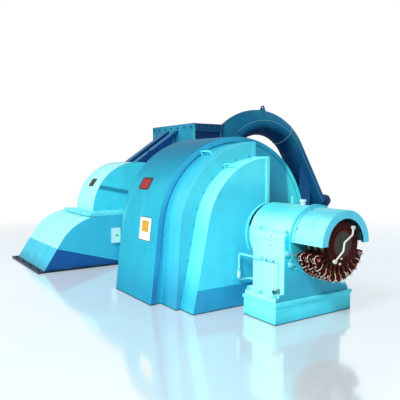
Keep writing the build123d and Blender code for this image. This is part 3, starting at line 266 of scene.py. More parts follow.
class Nodes:
    """The node tree of a material or of the world, which starts empty."""

    def __init__(self, owner):
        owner.use_nodes = True
        self.owner = owner
        self.tree = owner.node_tree
        self.tree.nodes.clear()

    def node(self, kind, settings=None, inputs=None, output=0):
        """Adds a node with its settings, then its sockets' values and links, and gives one output."""
        node = self.tree.nodes.new(kind)
        for name, setting in (settings or {}).items():
            setattr(node, name, setting)
        for key, given in (inputs or {}).items():
            if isinstance(given, Value):
                self.tree.links.new(given.socket, node.inputs[key])
            else:
                node.inputs[key].default_value = given
        return Value(self, node.outputs[output] if node.outputs else None)

    def seen(self):
        """1 to the eye, straight, mirrored or through glass, and 0 to the light on other surfaces."""
        rays = [self.node("ShaderNodeLightPath", output=f"Is {kind} Ray")
                for kind in ("Camera", "Glossy", "Transmission")]
        return self.node("ShaderNodeClamp", inputs={"Value": rays[0] + rays[1] + rays[2]})


class Finish(Nodes):
    """One procedural material: a principled shader and the patterns that feed it."""

    def __init__(self, name):
        super().__init__(bpy.data.materials.new(name))
        self.place = self.node("ShaderNodeTexCoord", output="Object")
        self.facing = self.node("ShaderNodeTexCoord", output="Normal")

    def axis(self, index, of=None):
        """One component of the place, or of another vector."""
        return self.node("ShaderNodeSeparateXYZ", inputs={0: of or self.place}, output=index)

    @cached_property
    def along(self):
        """The place along the shaft."""
        return self.axis(0)

    @cached_property
    def across(self):
        """The place across the shaft."""
        return self.axis(1)

    @cached_property
    def height(self):
        """The height over the floor."""
        return self.axis(2)

    @cached_property
    def flat(self):
        """1 on the faces that look along the shaft."""
        return self.smooth(abs(self.axis(0, self.facing)), 0.6, 0.9)

    @cached_property
    def wrap(self):
        """1 on the surfaces round the shaft, 0 on the flat faces."""
        return 1.0 - self.flat

    @cached_property
    def from_shaft(self):
        """The distance from the shaft's axis."""
        lifted = self.node("ShaderNodeCombineXYZ", inputs={1: self.across, 2: self.height - SHAFT_HEIGHT})
        return self.node("ShaderNodeVectorMath", {"operation": "LENGTH"}, {0: lifted}, "Value")

    def stretched(self, scales):
        """The place with each axis scaled."""
        return self.node("ShaderNodeVectorMath", {"operation": "MULTIPLY"}, {0: self.place, 1: scales})

    def noise(self, scale, detail=3.0, place=None):
        """Soft cloudy noise from 0 to 1."""
        return self.node("ShaderNodeTexNoise", inputs={
            "Vector": place or self.place, "Scale": scale, "Detail": detail, "Roughness": 0.55})

    def smooth(self, value, start, end):
        """0 below start, 1 above end, smooth between, or falling where start is above end."""
        if start > end:
            return 1.0 - self.smooth(value, end, start)
        return self.node("ShaderNodeMapRange", {"interpolation_type": "SMOOTHSTEP"}, {
            "Value": value, "From Min": start, "From Max": end})

    def streaks(self, scales, start, end, detail=4.0):
        """Stretched noise, cut between two levels."""
        return self.smooth(self.noise(1.0, detail, self.stretched(scales)), start, end)

    def line(self, value, place, half_width):
        """1 on a thin line where the value passes a place."""
        return self.smooth(abs(value - place), half_width, half_width * 0.4)

    def between(self, value, start, end, soft):
        """1 where the value lies between two places."""
        return self.smooth(value, start - soft, start + soft) * self.smooth(value, end + soft, end - soft)

    def mix(self, mask, first, second):
        """A colour between two colours."""
        return self.node("ShaderNodeMix", {"data_type": "RGBA"}, {0: mask, 6: first, 7: second}, 2)

    def layered(self, paint, *layers):
        """A paint under further layers, each a mask and a colour."""
        for mask, colour in layers:
            paint = self.mix(mask, paint, colour)
        return paint

    def toned(self, colour, tone):
        """A colour made lighter or darker."""
        if not isinstance(colour, Value):
            colour = tuple(colour)[:3]
        return self.node("ShaderNodeVectorMath", {"operation": "SCALE"}, {0: colour, "Scale": tone})

    def bump(self, height, distance, strength=1.0, below=None):
        """A normal raised by a height pattern, over another bump where one is given."""
        inputs = {"Height": height, "Distance": distance, "Strength": strength}
        if below:
            inputs["Normal"] = below
        return self.node("ShaderNodeBump", inputs=inputs)

    def edges(self, radius):
        """1 along sharp edges."""
        rounded = self.node("ShaderNodeBevel", {"samples": 4}, {"Radius": radius})
        plain = self.node("ShaderNodeNewGeometry", output="Normal")
        same = self.node("ShaderNodeVectorMath", {"operation": "DOT_PRODUCT"}, {0: rounded, 1: plain},
                         "Value")
        return self.smooth(1.0 - same, 0.02, 0.22)

    def shade(self, **sockets):
        """Ends the tree in a principled shader."""
        inputs = {name.replace("_", " "): given for name, given in sockets.items()}
        return self.surface(self.node("ShaderNodeBsdfPrincipled", inputs=inputs))

    def surface(self, shader):
        """Links a shader to the material's output."""
        self.node("ShaderNodeOutputMaterial", inputs={"Surface": shader})
        return self.owner


def enamel(name, colour, face=None, foot=None, foot_height=0.35, foot_share=0.5, gloss=0.34, marks=None,
           edge=None, shine=0.28):
    """Sprayed enamel: cloudy tone, faint runs, orange peel, painted shade towards the floor, and edges
    lightened partly as rubbed wear, partly as a painted highlight. face is the paint on the faces that look
    along the shaft, a darker copy that paints shade on them; foot the painted shade towards the floor; and
    marks a function that paints further marks, given the finish and the colour so far."""
    finish = Finish(name)
    height = finish.height
    cloud = finish.noise(0.9, 4.0)
    mottle = finish.noise(7.0, 3.0)
    runs = finish.noise(1.0, 4.0, finish.stretched((9.0, 9.0, 0.7)))
    tone = 0.64 + 0.42 * cloud + 0.14 * mottle + 0.16 * runs
    paint = tuple(colour)
    # The faces that look along the shaft take the darker face copy: painted shade
    if face is not None:
        paint = finish.mix(finish.flat, paint, face)
    # Darker towards the floor with a cloudy edge: painted shade
    if foot is not None:
        foot_shade = finish.smooth(height + 0.16 * (cloud - 0.5), foot_height, 0.02) * foot_share
        paint = finish.mix(foot_shade, paint, foot)
    if marks:
        paint = marks(finish, paint)
    paint = finish.toned(paint, tone)
    # Lighter paint along sharp edges: partly rubbed wear, partly a painted highlight where edges catch the
    # light
    rubbed_and_lit_edges = finish.edges(0.006) * finish.smooth(mottle, 0.38, 0.60)
    worn = edge or tuple(min(1.0, 0.30 + 0.9 * channel) for channel in tuple(colour)[:3]) + (1.0,)
    paint = finish.mix(rubbed_and_lit_edges * 0.55, paint, worn)
    dust = finish.smooth(finish.noise(38.0, 4.0), 0.60, 0.78) * finish.smooth(height, 0.5, 0.05)
    paint = finish.mix(dust * 0.25, paint, srgb(120, 150, 150))
    # Painted contact shadow: near black along the lowest 16 mm over the floor
    paint = finish.mix(finish.smooth(height, 0.016, 0.009) * 0.75, paint, srgb(10, 34, 52))
    roughness = gloss + 0.12 * cloud + 0.10 * mottle + 0.25 * dust + 0.15 * rubbed_and_lit_edges
    wavy = finish.bump(finish.noise(2.6, 2.0), 0.006, 0.5)
    peel = finish.bump(finish.noise(330.0, 1.0), 0.0005, 0.35, wavy)
    return finish.shade(Base_Color=paint, Roughness=roughness, Normal=peel, Specular_IOR_Level=shine)


def bare_metal(name, colour, rough=0.34, grain=(2.0, 60.0, 60.0), stain=None, stain_share=0.4, turned=0.0):
    """Machined or drawn metal: fine grain along one way, cloudy stains and duller patches, and where it
    is turned, rings round the shaft."""
    finish = Finish(name)
    grain_lines = finish.noise(6.0, 4.0, finish.stretched(grain))
    cloud = finish.noise(14.0, 4.0)
    tone = 0.78 + 0.24 * grain_lines + 0.18 * cloud
    if turned:
        outwards = finish.node("ShaderNodeCombineXYZ", inputs={0: 60.0 * finish.from_shaft})
        rings = finish.noise(1.0, 3.0, outwards)
        tone = tone + turned * (rings - 0.5)
    metal = finish.toned(colour, tone)
    if stain is not None:
        metal = finish.mix(finish.smooth(cloud, 0.45, 0.75) * stain_share, metal, stain)
    normal = finish.bump(grain_lines, 0.0006, 0.3)
    return finish.shade(
        Base_Color=metal, Metallic=0.92, Roughness=rough + 0.22 * cloud + 0.10 * grain_lines, Normal=normal)


def varnish(name, colour, dark):
    """Insulating varnish brushed over laminate: streaks, pooled dark patches and a soft gloss."""
    finish = Finish(name)
    streaks = finish.noise(8.0, 5.0, finish.stretched((2.0, 9.0, 9.0)))
    pools = finish.noise(16.0, 3.0)
    paint = finish.mix(finish.smooth(pools, 0.40, 0.72), finish.toned(colour, 0.72 + 0.5 * streaks), dark)
    normal = finish.bump(pools + 0.4 * streaks, 0.0012, 0.35)
    return finish.shade(
        Base_Color=paint, Roughness=0.34 + 0.30 * streaks, Normal=normal, Specular_IOR_Level=0.06)


def fastener_steel(name, colour, rust=srgb(96, 62, 40)):
    """Plated or painted bolt steel with rust specks in its corners."""
    finish = Finish(name)
    cloud = finish.noise(40.0, 4.0)
    specks = finish.smooth(finish.noise(170.0, 3.0), 0.56, 0.70)
    metal = finish.mix(specks * 0.45, finish.toned(colour, 0.75 + 0.45 * cloud), rust)
    normal = finish.bump(cloud, 0.0005, 0.4)
    return finish.shade(
        Base_Color=metal, Metallic=0.55, Roughness=0.36 + 0.25 * cloud + 0.2 * specks, Normal=normal)


def braid(name, colour):
    """Fine woven copper braid: two crossing sets of strands."""
    finish = Finish(name)
    first = finish.node("ShaderNodeTexWave", {"bands_direction": "DIAGONAL"}, {
        "Vector": finish.place, "Scale": 160.0, "Distortion": 1.5}, "Fac")
    second = finish.noise(420.0, 2.0)
    weave = 0.6 * first + 0.4 * second
    normal = finish.bump(weave, 0.0009, 0.7)
    return finish.shade(
        Base_Color=finish.toned(colour, 0.62 + 0.5 * weave), Metallic=0.35, Roughness=0.42 + 0.2 * second,
        Normal=normal)


def moulded(name, colour, rough=0.4, speckle=0.2):
    """Moulded or stove-enamelled small parts with a fine grain."""
    finish = Finish(name)
    cloud = finish.noise(22.0, 4.0)
    grain = finish.noise(260.0, 2.0)
    normal = finish.bump(grain, 0.0004, 0.4)
    return finish.shade(
        Base_Color=finish.toned(colour, 1.0 - speckle * 0.7 + speckle * (cloud + 0.4 * grain)),
        Roughness=rough + 0.18 * cloud, Normal=normal, Specular_IOR_Level=0.2)


def weld_metal(name, colour):
    """A painted weld bead with its ripples."""
    finish = Finish(name)
    ripple = finish.noise(110.0, 2.0)
    cloud = finish.noise(9.0, 4.0)
    normal = finish.bump(ripple, 0.0025, 0.8)
    return finish.shade(
        Base_Color=finish.toned(colour, 0.78 + 0.22 * ripple + 0.2 * cloud), Roughness=0.34 + 0.2 * cloud,
        Normal=normal)


def put_on(finish, *names):
    """Gives a finish to nodes of the frame."""
    for name in names:
        materials = NODES[name].data.materials
        if not materials:
            materials.append(finish)
        for place in range(len(materials)):
            materials[place] = finish


def material(name):
    """A finish that an earlier step made."""
    found = bpy.data.materials.get(name)
    if found is None:
        raise RuntimeError(f"the finish {name} isn't made yet; run the paint steps first")
    return found


def both(*parts):
    """The names of parts that stand at the front and at the rear."""
    return [f"{end}_{part}" for part in parts for end in ("front", "rear")]


def piece(name, bm, finish, body=STATIONARY):
    """Makes a finished piece of a bmesh: shaded, painted with a named finish and riding on a body."""
    if not bm.faces:
        raise RuntimeError(f"{name} has no faces")
    mesh = bpy.data.meshes.new(name)
    bm.to_mesh(mesh)
    bm.free()
    mesh.shade_smooth()
    mesh.set_sharp_from_angle(angle=radians(38.0))
    mesh.materials.append(material(finish))
    made = bpy.data.objects.new(name, mesh)
    bpy.context.scene.collection.objects.link(made)
    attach(made, body)


def facing(point, direction):
    """The placement that turns local Z along a direction at a point."""
    turn = Vector(direction).to_track_quat("Z", "Y").to_matrix().to_4x4()
    return Matrix.Translation(Vector(point)) @ turn


def repeated(template, placements):
    """One bmesh that holds a template at every placement."""
    mesh = bpy.data.meshes.new("template")
    template.to_mesh(mesh)
    template.free()
    together = bmesh.new()
    for placement in placements:
        copy = mesh.copy()
        copy.transform(placement)
        together.from_mesh(copy)
        bpy.data.meshes.remove(copy)
    bpy.data.meshes.remove(mesh)
    return together


def fasten(name, template, placements, finish, body=STATIONARY):
    """Makes one piece that holds a template at every placement."""
    piece(name, repeated(template, placements), finish, body)


def spread(start, end, count):
    """Evenly spaced places from start to end."""
    return [start + step * (end - start) / (count - 1) for step in range(count)]


def heading(angle):
    """A direction across the shaft, at an angle from +Y towards +Z."""
    turn = radians(angle)
    return Vector((0, cos(turn), sin(turn)))


def around_shaft(angle, radius, x):
    """A point at an angle about the shaft, counted from +Y towards +Z."""
    return Vector((x, 0, SHAFT_HEIGHT)) + heading(angle) * radius


def radial_frame(angle, radius, x):
    """A placement whose X points away from the shaft and whose Z points along it."""
    axes = Matrix((heading(angle), heading(angle + 90), AHEAD)).transposed()
    return Matrix.Translation(around_shaft(angle, radius, x)) @ axes.to_4x4()


def of_kind(items, kind):
    """The vertices or edges among the items that an operator gives."""
    return [item for item in items if isinstance(item, kind)]


def drawn_out(bm, edges, step):
    """Draws edges out by a step and gives the new ones."""
    drawn = bmesh.ops.extrude_edge_only(bm, edges=edges)["geom"]
    bmesh.ops.translate(bm, vec=step, verts=of_kind(drawn, bmesh.types.BMVert))
    return of_kind(drawn, bmesh.types.BMEdge)


def soften(bm, geom, size, segments=1, affect="EDGES"):
    """Breaks edges or corners."""
    bmesh.ops.bevel(bm, geom=geom, offset=size, offset_type="OFFSET", affect=affect, segments=segments,
                    profile=0.5, material=-1)


def brick(bm, size, place):
    """A block round a place."""
    made = bmesh.ops.create_cube(bm, size=1.0)["verts"]
    bmesh.ops.scale(bm, vec=size, verts=made)
    bmesh.ops.translate(bm, vec=place, verts=made)


def cone(bm, radius, top_radius, bottom, top, segments):
    """A round or prismatic body along local Z between two heights."""
    made = bmesh.ops.create_cone(
        bm, cap_ends=True, segments=segments, radius1=radius, radius2=top_radius, depth=top - bottom,
        matrix=Matrix.Translation((0, 0, (bottom + top) / 2)))
    return made["verts"]


def bevel_top(bm, vertices, size):
    """Breaks the top edges of a body along local Z."""
    top = max(vertex.co.z for vertex in vertices)
    edges = {edge for vertex in vertices for edge in vertex.link_edges
             if all(end.co.z > top - 1e-6 for end in edge.verts)}
    soften(bm, list(edges), size)


def bolt_head(across, washer=True):
    """A hexagon head on its washer, standing on local Z, with a sunk foot."""
    bm = bmesh.new()
    seat = 0.0
    if washer:
        seat = across * 0.12
        disc = cone(bm, across * 0.92, across * 0.86, -0.0008, seat, 16)
        bevel_top(bm, disc, across * 0.03)
    head = cone(bm, across / sqrt(3), across / sqrt(3), seat, seat + across * 0.62, 6)
    bevel_top(bm, head, across * 0.09)
    return bm


def stud_nut(across):
    """A nut with its stud's end standing out of it."""
    bm = bolt_head(across)
    end = cone(bm, across * 0.29, across * 0.26, across * 0.5, across * 1.02, 10)
    bevel_top(bm, end, across * 0.05)
    return bm


def round_head(radius, height):
    """A low domed screw or rivet head."""
    bm = bmesh.new()
    dome = bmesh.ops.create_uvsphere(bm, u_segments=12, v_segments=6, radius=radius)["verts"]
    bmesh.ops.scale(bm, vec=(1, 1, height / radius), verts=dome)
    return bm


def rim_edges(made):
    """The edges of a circle that an operator has just made."""
    return list({edge for vertex in made["verts"] for edge in vertex.link_edges})


def ring(bm, radius, bead, placement, segments=72, sides=8):
    """A bead of round section closed round a centre, lying across the placement's Z."""
    upright = Matrix.Translation((radius, 0, 0)) @ Matrix.Rotation(pi / 2, 4, "X")
    section = bmesh.ops.create_circle(bm, segments=sides, radius=bead, matrix=upright)
    bmesh.ops.spin(bm, geom=rim_edges(section), cent=(0, 0, 0), axis=(0, 0, 1), angle=2 * pi,
                   steps=segments, use_merge=True)
    bmesh.ops.remove_doubles(bm, verts=bm.verts, dist=1e-5)
    bmesh.ops.recalc_face_normals(bm, faces=bm.faces)
    bmesh.ops.transform(bm, matrix=placement, verts=bm.verts)
    return bm


def close_ends(bm):
    """Closes the open ends of tubes and turns their faces outward."""
    bmesh.ops.holes_fill(bm, edges=[edge for edge in bm.edges if edge.is_boundary], sides=0)
    bmesh.ops.recalc_face_normals(bm, faces=bm.faces)
    return bm


def arc_bead(bm, centre, radius, start, end, bead, sides=6, steps=24):
    """An open bead of round section bent round an axis along X, between two angles from +Y."""
    foot = facing(Vector(centre) + heading(start) * radius, heading(start + 90))
    section = bmesh.ops.create_circle(bm, segments=sides, radius=bead, matrix=foot)
    return bmesh.ops.spin(bm, geom=rim_edges(section), cent=centre, axis=AHEAD,
                          angle=radians(end - start), steps=steps)


class Arch:
    """An arch on the floor whose leaning sides run tangent into its round top."""

    def __init__(self, half_width, radius, centre):
        self.half_width, self.radius, self.centre = half_width, radius, centre
        reach = hypot(half_width, centre)
        self.side = sqrt(reach ** 2 - radius ** 2)
        self.lean = pi / 2 - atan2(centre, half_width) - asin(radius / reach)
        self.half_length = self.side + radius * (pi / 2 - self.lean)

    def at(self, run, offset=0.0):
        """Y, Z and outward direction at a run along the outline from its foot at low Y."""
        if run > self.half_length:
            y, z, out_y, out_z = self.at(2 * self.half_length - run, offset)
            return -y, z, -out_y, out_z
        if run < self.side:
            turn = self.lean
            y, z = self.half_width - run * sin(turn), run * cos(turn)
        else:
            turn = self.lean + (run - self.side) / self.radius
            y, z = self.radius * cos(turn), self.centre + self.radius * sin(turn)
        return -(y + offset * cos(turn)), z + offset * sin(turn), -cos(turn), sin(turn)

    def spaced(self, pitch, start, end, offset=0.0):
        """Evenly spaced places along the outline between two runs."""
        count = max(1, round((end - start) / pitch))
        return [self.at(run, offset) for run in spread(start, end, count + 1)]


STATOR = Arch(1.240, 1.146, 0.785)
AIR_COVER = Arch(1.100, 1.044, 0.800)
END_COVER = Arch(1.039, 0.853, 0.815)


class HYDRO_OT_paint_generator(bpy.types.Operator):
    """Paints the housing, its end plates, the half covers with their handles and the seal rings"""
    bl_idname = "hydro.paint_generator"
    bl_label = "Paint generator"

    def execute(self, context):
        paints = context.scene.hydro_paints
        # Deep blue of the seam lines, and of the painted shade towards the floor
        seam_and_foot_shade = srgb(22, 116, 168)

        def plate_marks(finish, paint):
            # Painted shadow of the half covers: the end plates are darker next to the covers
            shade = finish.smooth(finish.across + 0.12 * (finish.height - 1.2), 0.90, 0.82)
            return finish.mix(shade * 0.90, paint, srgb(36, 148, 188))

        def housing_marks(finish, paint):
            height = finish.height
            seams = finish.line(finish.along, -0.165, 0.0035) * finish.smooth(height, 0.62, 0.58)
            seams = seams + finish.line(height + 0.03 * finish.along, 0.612, 0.0035)
            # crown: painted shade over the housing's round top
            crown = finish.smooth(height + 0.10 * finish.noise(1.6), 1.25, 1.98)
            # rim: the near rims, painted lighter above and darker below: painted light and shade
            rim = finish.flat * finish.smooth(finish.across, 0.3, -0.1)
            # glint: painted highlights along the side
            glint = finish.streaks((7.0, 3.0, 1.6), 0.56, 0.74) * finish.between(height, 0.85, 1.35, 0.15)
            # far_side: the far rims take the end plates' lit colour and painted cover shadow
            far_side = finish.flat * finish.smooth(finish.across, 0.20, 0.60)
            return finish.layered(
                paint,
                (far_side, plate_marks(finish, paints.end_plate)),
                (finish.wrap * crown, paints.housing_crown_shade),
                (rim * finish.smooth(height, 0.9, 1.3) * 0.7, srgb(66, 184, 222)),
                (rim * finish.smooth(height, 0.5, 0.1) * 0.7, srgb(40, 112, 160)),
                (finish.wrap * glint * 0.5, srgb(96, 214, 232)),
                (finish.wrap * seams * 0.5, seam_and_foot_shade))

        def air_marks(finish, paint):
            height = finish.height
            return finish.layered(
                # Painted highlights on the lips' edges and the faces' upper part; painted shade over the
                # round top
                paint,
                (finish.flat * finish.smooth(abs(finish.across), *LIP_EDGE) * 0.8, srgb(92, 232, 248)),
                (finish.flat * finish.smooth(height, 0.8, 1.4) * 0.7, srgb(86, 214, 232)),
                (finish.wrap * finish.smooth(height, 1.45, 1.85) * 0.6, srgb(46, 186, 214)))

        def end_marks(finish, paint):
            aside, height = abs(finish.across), finish.height
            # band: a soft dark band across the faces' outer parts, a painted reflection
            band = finish.between(height - 0.29 * aside, 1.030, 1.135, 0.030)
            band = band * finish.smooth(aside, 0.60, 0.80)
            # foot: painted shade along the faces' foot
            foot = finish.smooth(height + 0.05 * finish.noise(2.2), 0.290, 0.276)
            # Painted light on the sides' upper part, painted shade on their lower part, painted highlights on
            # the faces' upper part and the lips' edges
            return finish.layered(
                paint,
                (finish.wrap * finish.smooth(height, 0.8, 1.3), srgb(136, 252, 252)),
                (finish.wrap * finish.smooth(height, 0.62, 0.10), srgb(48, 192, 220)),
                (finish.flat * band * 0.75, srgb(56, 174, 206)),
                (finish.flat * foot * 0.75, srgb(28, 126, 180)),
                (finish.flat * finish.smooth(height, 1.25, 1.5) * 0.8, srgb(96, 234, 250)),
                (finish.flat * finish.smooth(aside, *LIP_EDGE) * 0.9, srgb(120, 244, 252)))

        def collar_marks(finish, paint):
            # Near-black painted shade in the gap inside the seal ring, on its upper part
            inner = finish.smooth(finish.from_shaft, SEAL_RADIUS - 0.006, SEAL_RADIUS - 0.009)
            inner = inner * finish.smooth(abs(finish.along), END_FACE + 0.024, END_FACE + 0.028)
            return finish.mix(inner * finish.smooth(finish.height, 0.89, 0.93), paint, srgb(4, 8, 18))

        put_on(enamel("turquoise_enamel", paints.housing, paints.housing_face_shade, seam_and_foot_shade, 0.50, 0.40,
                      marks=housing_marks, shine=0.04), "stator_housing")
        put_on(enamel("end_plate_enamel", paints.end_plate, None, seam_and_foot_shade, 0.30, 0.35, marks=plate_marks),
               *both("end_plate"))
        put_on(enamel("air_cover_enamel", paints.air_cover, paints.air_face_shade, seam_and_foot_shade, 0.62, 0.50,
                      marks=air_marks), *both("air_cover"))
        put_on(enamel("end_cover_enamel", paints.end_cover, paints.end_face_shade, seam_and_foot_shade, 0.2, 0.15,
                      marks=end_marks), *both("end_cover"))
        put_on(enamel("handle_enamel", paints.end_cover), *both("cover_handles"))
        put_on(enamel("seal_ring_enamel", srgb(84, 226, 240), marks=collar_marks), *both("seal_ring"))
        return {"FINISHED"}


class HYDRO_OT_paint_bearings(bpy.types.Operator):
    """Paints the plinths, pedestals, caps, flanges and brush hood; finishes the liners and oil fittings"""
    bl_idname = "hydro.paint_bearings"
    bl_label = "Paint bearings"

    def execute(self, context):
        paints = context.scene.hydro_paints

        def bearing_marks(finish, paint):
            height = finish.height
            # Painted shade on the faces' lower part and over the caps' tops; the thin dark line at the
            # shaft's height is the caps' joint
            lower = finish.smooth(height + 0.06 * finish.noise(1.8), 0.80, 0.35)
            return finish.layered(
                paint,
                (finish.flat * lower * 0.85, srgb(44, 160, 196)),
                (finish.wrap * finish.smooth(height, 0.96, 1.13) * 0.85, srgb(58, 222, 236)),
                (finish.line(height, SHAFT_HEIGHT, 0.0022) * 0.6, srgb(30, 120, 150)))

        def plinth_marks(finish, paint):
            streak = finish.streaks((4.0, 1.1, 7.0), 0.42, 0.60, 5.0)
            return finish.mix(finish.flat * streak * 0.30, paint, srgb(46, 170, 206))

        def hood_marks(finish, paint):
            along, radius = finish.along, finish.from_shaft
            ring_back, ring_front = HOOD_END - 0.026, HOOD_END - 0.020
            # inside and opening: near-black painted shade inside the hood and round its opening
            inside = finish.smooth(radius, HOOD_RADIUS - 0.009, HOOD_RADIUS - 0.013)
            opening = finish.smooth(radius, HOOD_OPENING + 0.004, HOOD_OPENING + 0.001)
            dark = (inside * finish.smooth(along, ring_front, ring_back)
                    + opening * finish.smooth(along, ring_back, ring_front))
            # Painted shade over the hood's top and painted highlight bands along its side
            return finish.layered(
                paint,
                (finish.wrap * finish.smooth(finish.height, 1.02, 1.13) * 0.8, srgb(44, 180, 208)),
                (finish.wrap * finish.streaks((7.0, 1.2, 1.2), 0.42, 0.62) * 0.5, srgb(84, 230, 244)),
                (dark, srgb(8, 22, 40)))

        put_on(enamel("bearing_enamel", paints.bearing, paints.bearing_face_shade, gloss=0.30,
                      marks=bearing_marks), *both("bearing_pedestal", "bearing_cap"))
        put_on(enamel("bearing_flange_enamel", srgb(66, 214, 232), srgb(62, 206, 228)),
               *both("bearing_flange"))
        put_on(enamel("plinth_enamel", paints.plinth, paints.plinth_face_shade, srgb(40, 166, 200), 0.16, 0.35,
                      marks=plinth_marks), *both("bearing_base"))
        put_on(enamel("hood_enamel", paints.hood, paints.hood_face_shade, gloss=0.26, marks=hood_marks),
               "brush_hood")
        put_on(enamel("oil_pipe_enamel", srgb(146, 244, 248), gloss=0.28),
               "oil_level_pipe", "oil_breather", "oil_drain_pipe")
        put_on(moulded("sight_fitting", srgb(190, 246, 246), 0.16, 0.12), "oil_level_glass")
        put_on(bare_metal("valve_metal", srgb(96, 160, 164), 0.40, (30.0, 30.0, 30.0), srgb(50, 100, 110)),
               "oil_drain_valve")
        put_on(moulded("white_fitting", srgb(214, 236, 230), 0.3, 0.16), "oil_filler")
        put_on(enamel("plug_enamel", srgb(120, 226, 240), gloss=0.30), "pedestal_plugs")
        put_on(bare_metal("bearing_metal", srgb(168, 170, 168), 0.36), *both("bearing_liner"))
        return {"FINISHED"}


class HYDRO_OT_paint_turbine(bpy.types.Operator):
    """Paints the turbine's casing, hood, shaft housing, duct, nozzle chamber and small box"""
    bl_idname = "hydro.paint_turbine"
    bl_label = "Paint turbine"

    def execute(self, context):
        paints = context.scene.hydro_paints

        def casing_marks(finish, paint):
            aside, height, leaning = abs(finish.across), finish.height, finish.wrap
            wobble = 0.02 * (finish.noise(1.4) - 0.5)
            # foot_shade: the navy painted shadow on the front faces, under a line that rises outwards
            slope = height - 0.279 * aside + wobble
            foot_shade = finish.flat * finish.smooth(slope, -0.094, -0.104) * finish.smooth(aside, 0.1, 0.3)
            seams = sum(finish.line(finish.along, seam, 0.009) for seam in CASING_SEAMS)
            # Streaked painted shade, darkening the leaning sides towards the floor
            low_shade_streaks = finish.streaks((5.0, 2.0, 2.0), 0.5, 0.7, 5.0) * finish.smooth(height, 0.30, 0.04)
            return finish.layered(
                paint,
                # Painted shadow on the leaning sides below about a third of a metre, then painted shade
                # darkening to the floor
                (leaning * finish.smooth(height + wobble, 0.338, 0.326), paints.casing_foot_shadow),
                (leaning * finish.smooth(height, 0.20, 0.02) * 0.55, srgb(30, 132, 166)),
                (leaning * low_shade_streaks * 0.6, srgb(20, 96, 130)),
                (foot_shade, paints.foot_shadow_band),
                (leaning * seams * 0.85, srgb(16, 104, 140)))

        def hood_marks(finish, paint):
            # A soft dark band across the faces: a painted reflection
            shade = finish.between(finish.height - 0.21 * abs(finish.across), 1.036, 1.108, 0.022)
            return finish.mix(finish.flat * shade * 0.85, paint, srgb(28, 122, 156))

        def chamber_marks(finish, paint):
            across, flat = finish.across, finish.flat
            # far: painted shade, darker towards the chamber's back
            far = finish.smooth(finish.along, CHAMBER_BACK + 0.55, CHAMBER_BACK + 0.05)
            blotch = finish.smooth(finish.noise(5.0, 5.0), 0.46, 0.62)
            # panel: painted shade over the sunk panels of the faces
            panel = finish.between(across, CHAMBER_NEAR + 0.055, CHAMBER_FAR - 0.055, 0.002)
            panel = panel * finish.between(finish.height, 0.920, CHAMBER_TOP - 0.114, 0.002)
            # post: a painted highlight on the faces' near corner
            post = finish.smooth(across, CHAMBER_NEAR + 0.060, CHAMBER_NEAR + 0.050)
            return finish.layered(
                paint,
                (finish.wrap * far * 0.6, srgb(14, 96, 138)),
                (finish.wrap * blotch * 0.35, srgb(70, 166, 176)),
                (flat * panel, paints.chamber_panel_shade),
                (flat * post * 0.8, srgb(80, 204, 226)))

        put_on(enamel("casing_enamel", paints.casing, paints.casing_face_shade, marks=casing_marks),
               "turbine_casing")
        put_on(enamel("turbine_hood_enamel", paints.turbine_hood, paints.turbine_face_shade, marks=hood_marks),
               "turbine_hood")
        put_on(enamel("split_plate_enamel", srgb(120, 240, 250), srgb(104, 236, 248)), "turbine_hood_plate")
        put_on(enamel("shaft_housing_enamel", srgb(50, 184, 218)), "turbine_shaft_housing")
        put_on(enamel("base_plate_enamel", srgb(20, 50, 84), None, srgb(8, 18, 34), 0.03, 0.6, 0.4,
                      shine=0.14), "turbine_base_flange")
        put_on(enamel("duct_enamel", paints.duct, srgb(14, 60, 124), shine=0.10), "injector_duct")
        # The rails' pale edge paint is a painted highlight along their edges
        put_on(enamel("rail_enamel", srgb(24, 112, 158), srgb(14, 66, 128), edge=srgb(96, 180, 216),
                      shine=0.12), "duct_rails")
        put_on(enamel("chamber_enamel", paints.chamber, paints.chamber_face_shade, srgb(4, 52, 96), 1.5, 0.7,
                      marks=chamber_marks, shine=0.12), "nozzle_chamber")
        put_on(enamel("lid_enamel", srgb(26, 122, 160), srgb(8, 84, 128), shine=0.12), "chamber_lid")
        put_on(moulded("box_enamel", srgb(196, 240, 244), 0.3, 0.16), "casing_box")
        return {"FINISHED"}


class HYDRO_OT_paint_feed_pipe(bpy.types.Operator):
    """Paints the feed pipe, its flange and its stand"""
    bl_idname = "hydro.paint_feed_pipe"
    bl_label = "Paint feed pipe"

    def execute(self, context):
        paints = context.scene.hydro_paints

        def pipe_marks(finish, paint):
            up = finish.axis(2, finish.facing)
            worn = finish.smooth(finish.noise(3.0, 4.0), 0.50, 0.72)
            return finish.layered(
                paint,
                (worn * 0.45, srgb(44, 128, 138)),
                (finish.streaks((9.0, 2.0, 2.0), 0.5, 0.7, 5.0) * 0.25, srgb(8, 62, 92)),
                (finish.smooth(finish.across, 3.6, 4.2) * 0.7, paints.stand),
                # Painted shade on the underside, where the surface looks down
                (finish.smooth(up + 0.08 * worn, 0.0, -0.62) * 0.95, paints.pipe_under))

        put_on(enamel("pipe_enamel", paints.pipe, gloss=0.50, marks=pipe_marks, shine=0.04),
               "pipe_branch", "branch_collar", "pipe_bend_rise", "pipe_bend_crown", "pipe_bend_fall",
               "pipe_leg", "pipe_lug")
        put_on(enamel("flange_enamel", paints.flange, gloss=0.4, shine=0.10), "inlet_flange")
        put_on(enamel("stand_enamel", paints.stand, gloss=0.4, edge=srgb(60, 150, 180), shine=0.10),
               "pipe_support")
        return {"FINISHED"}


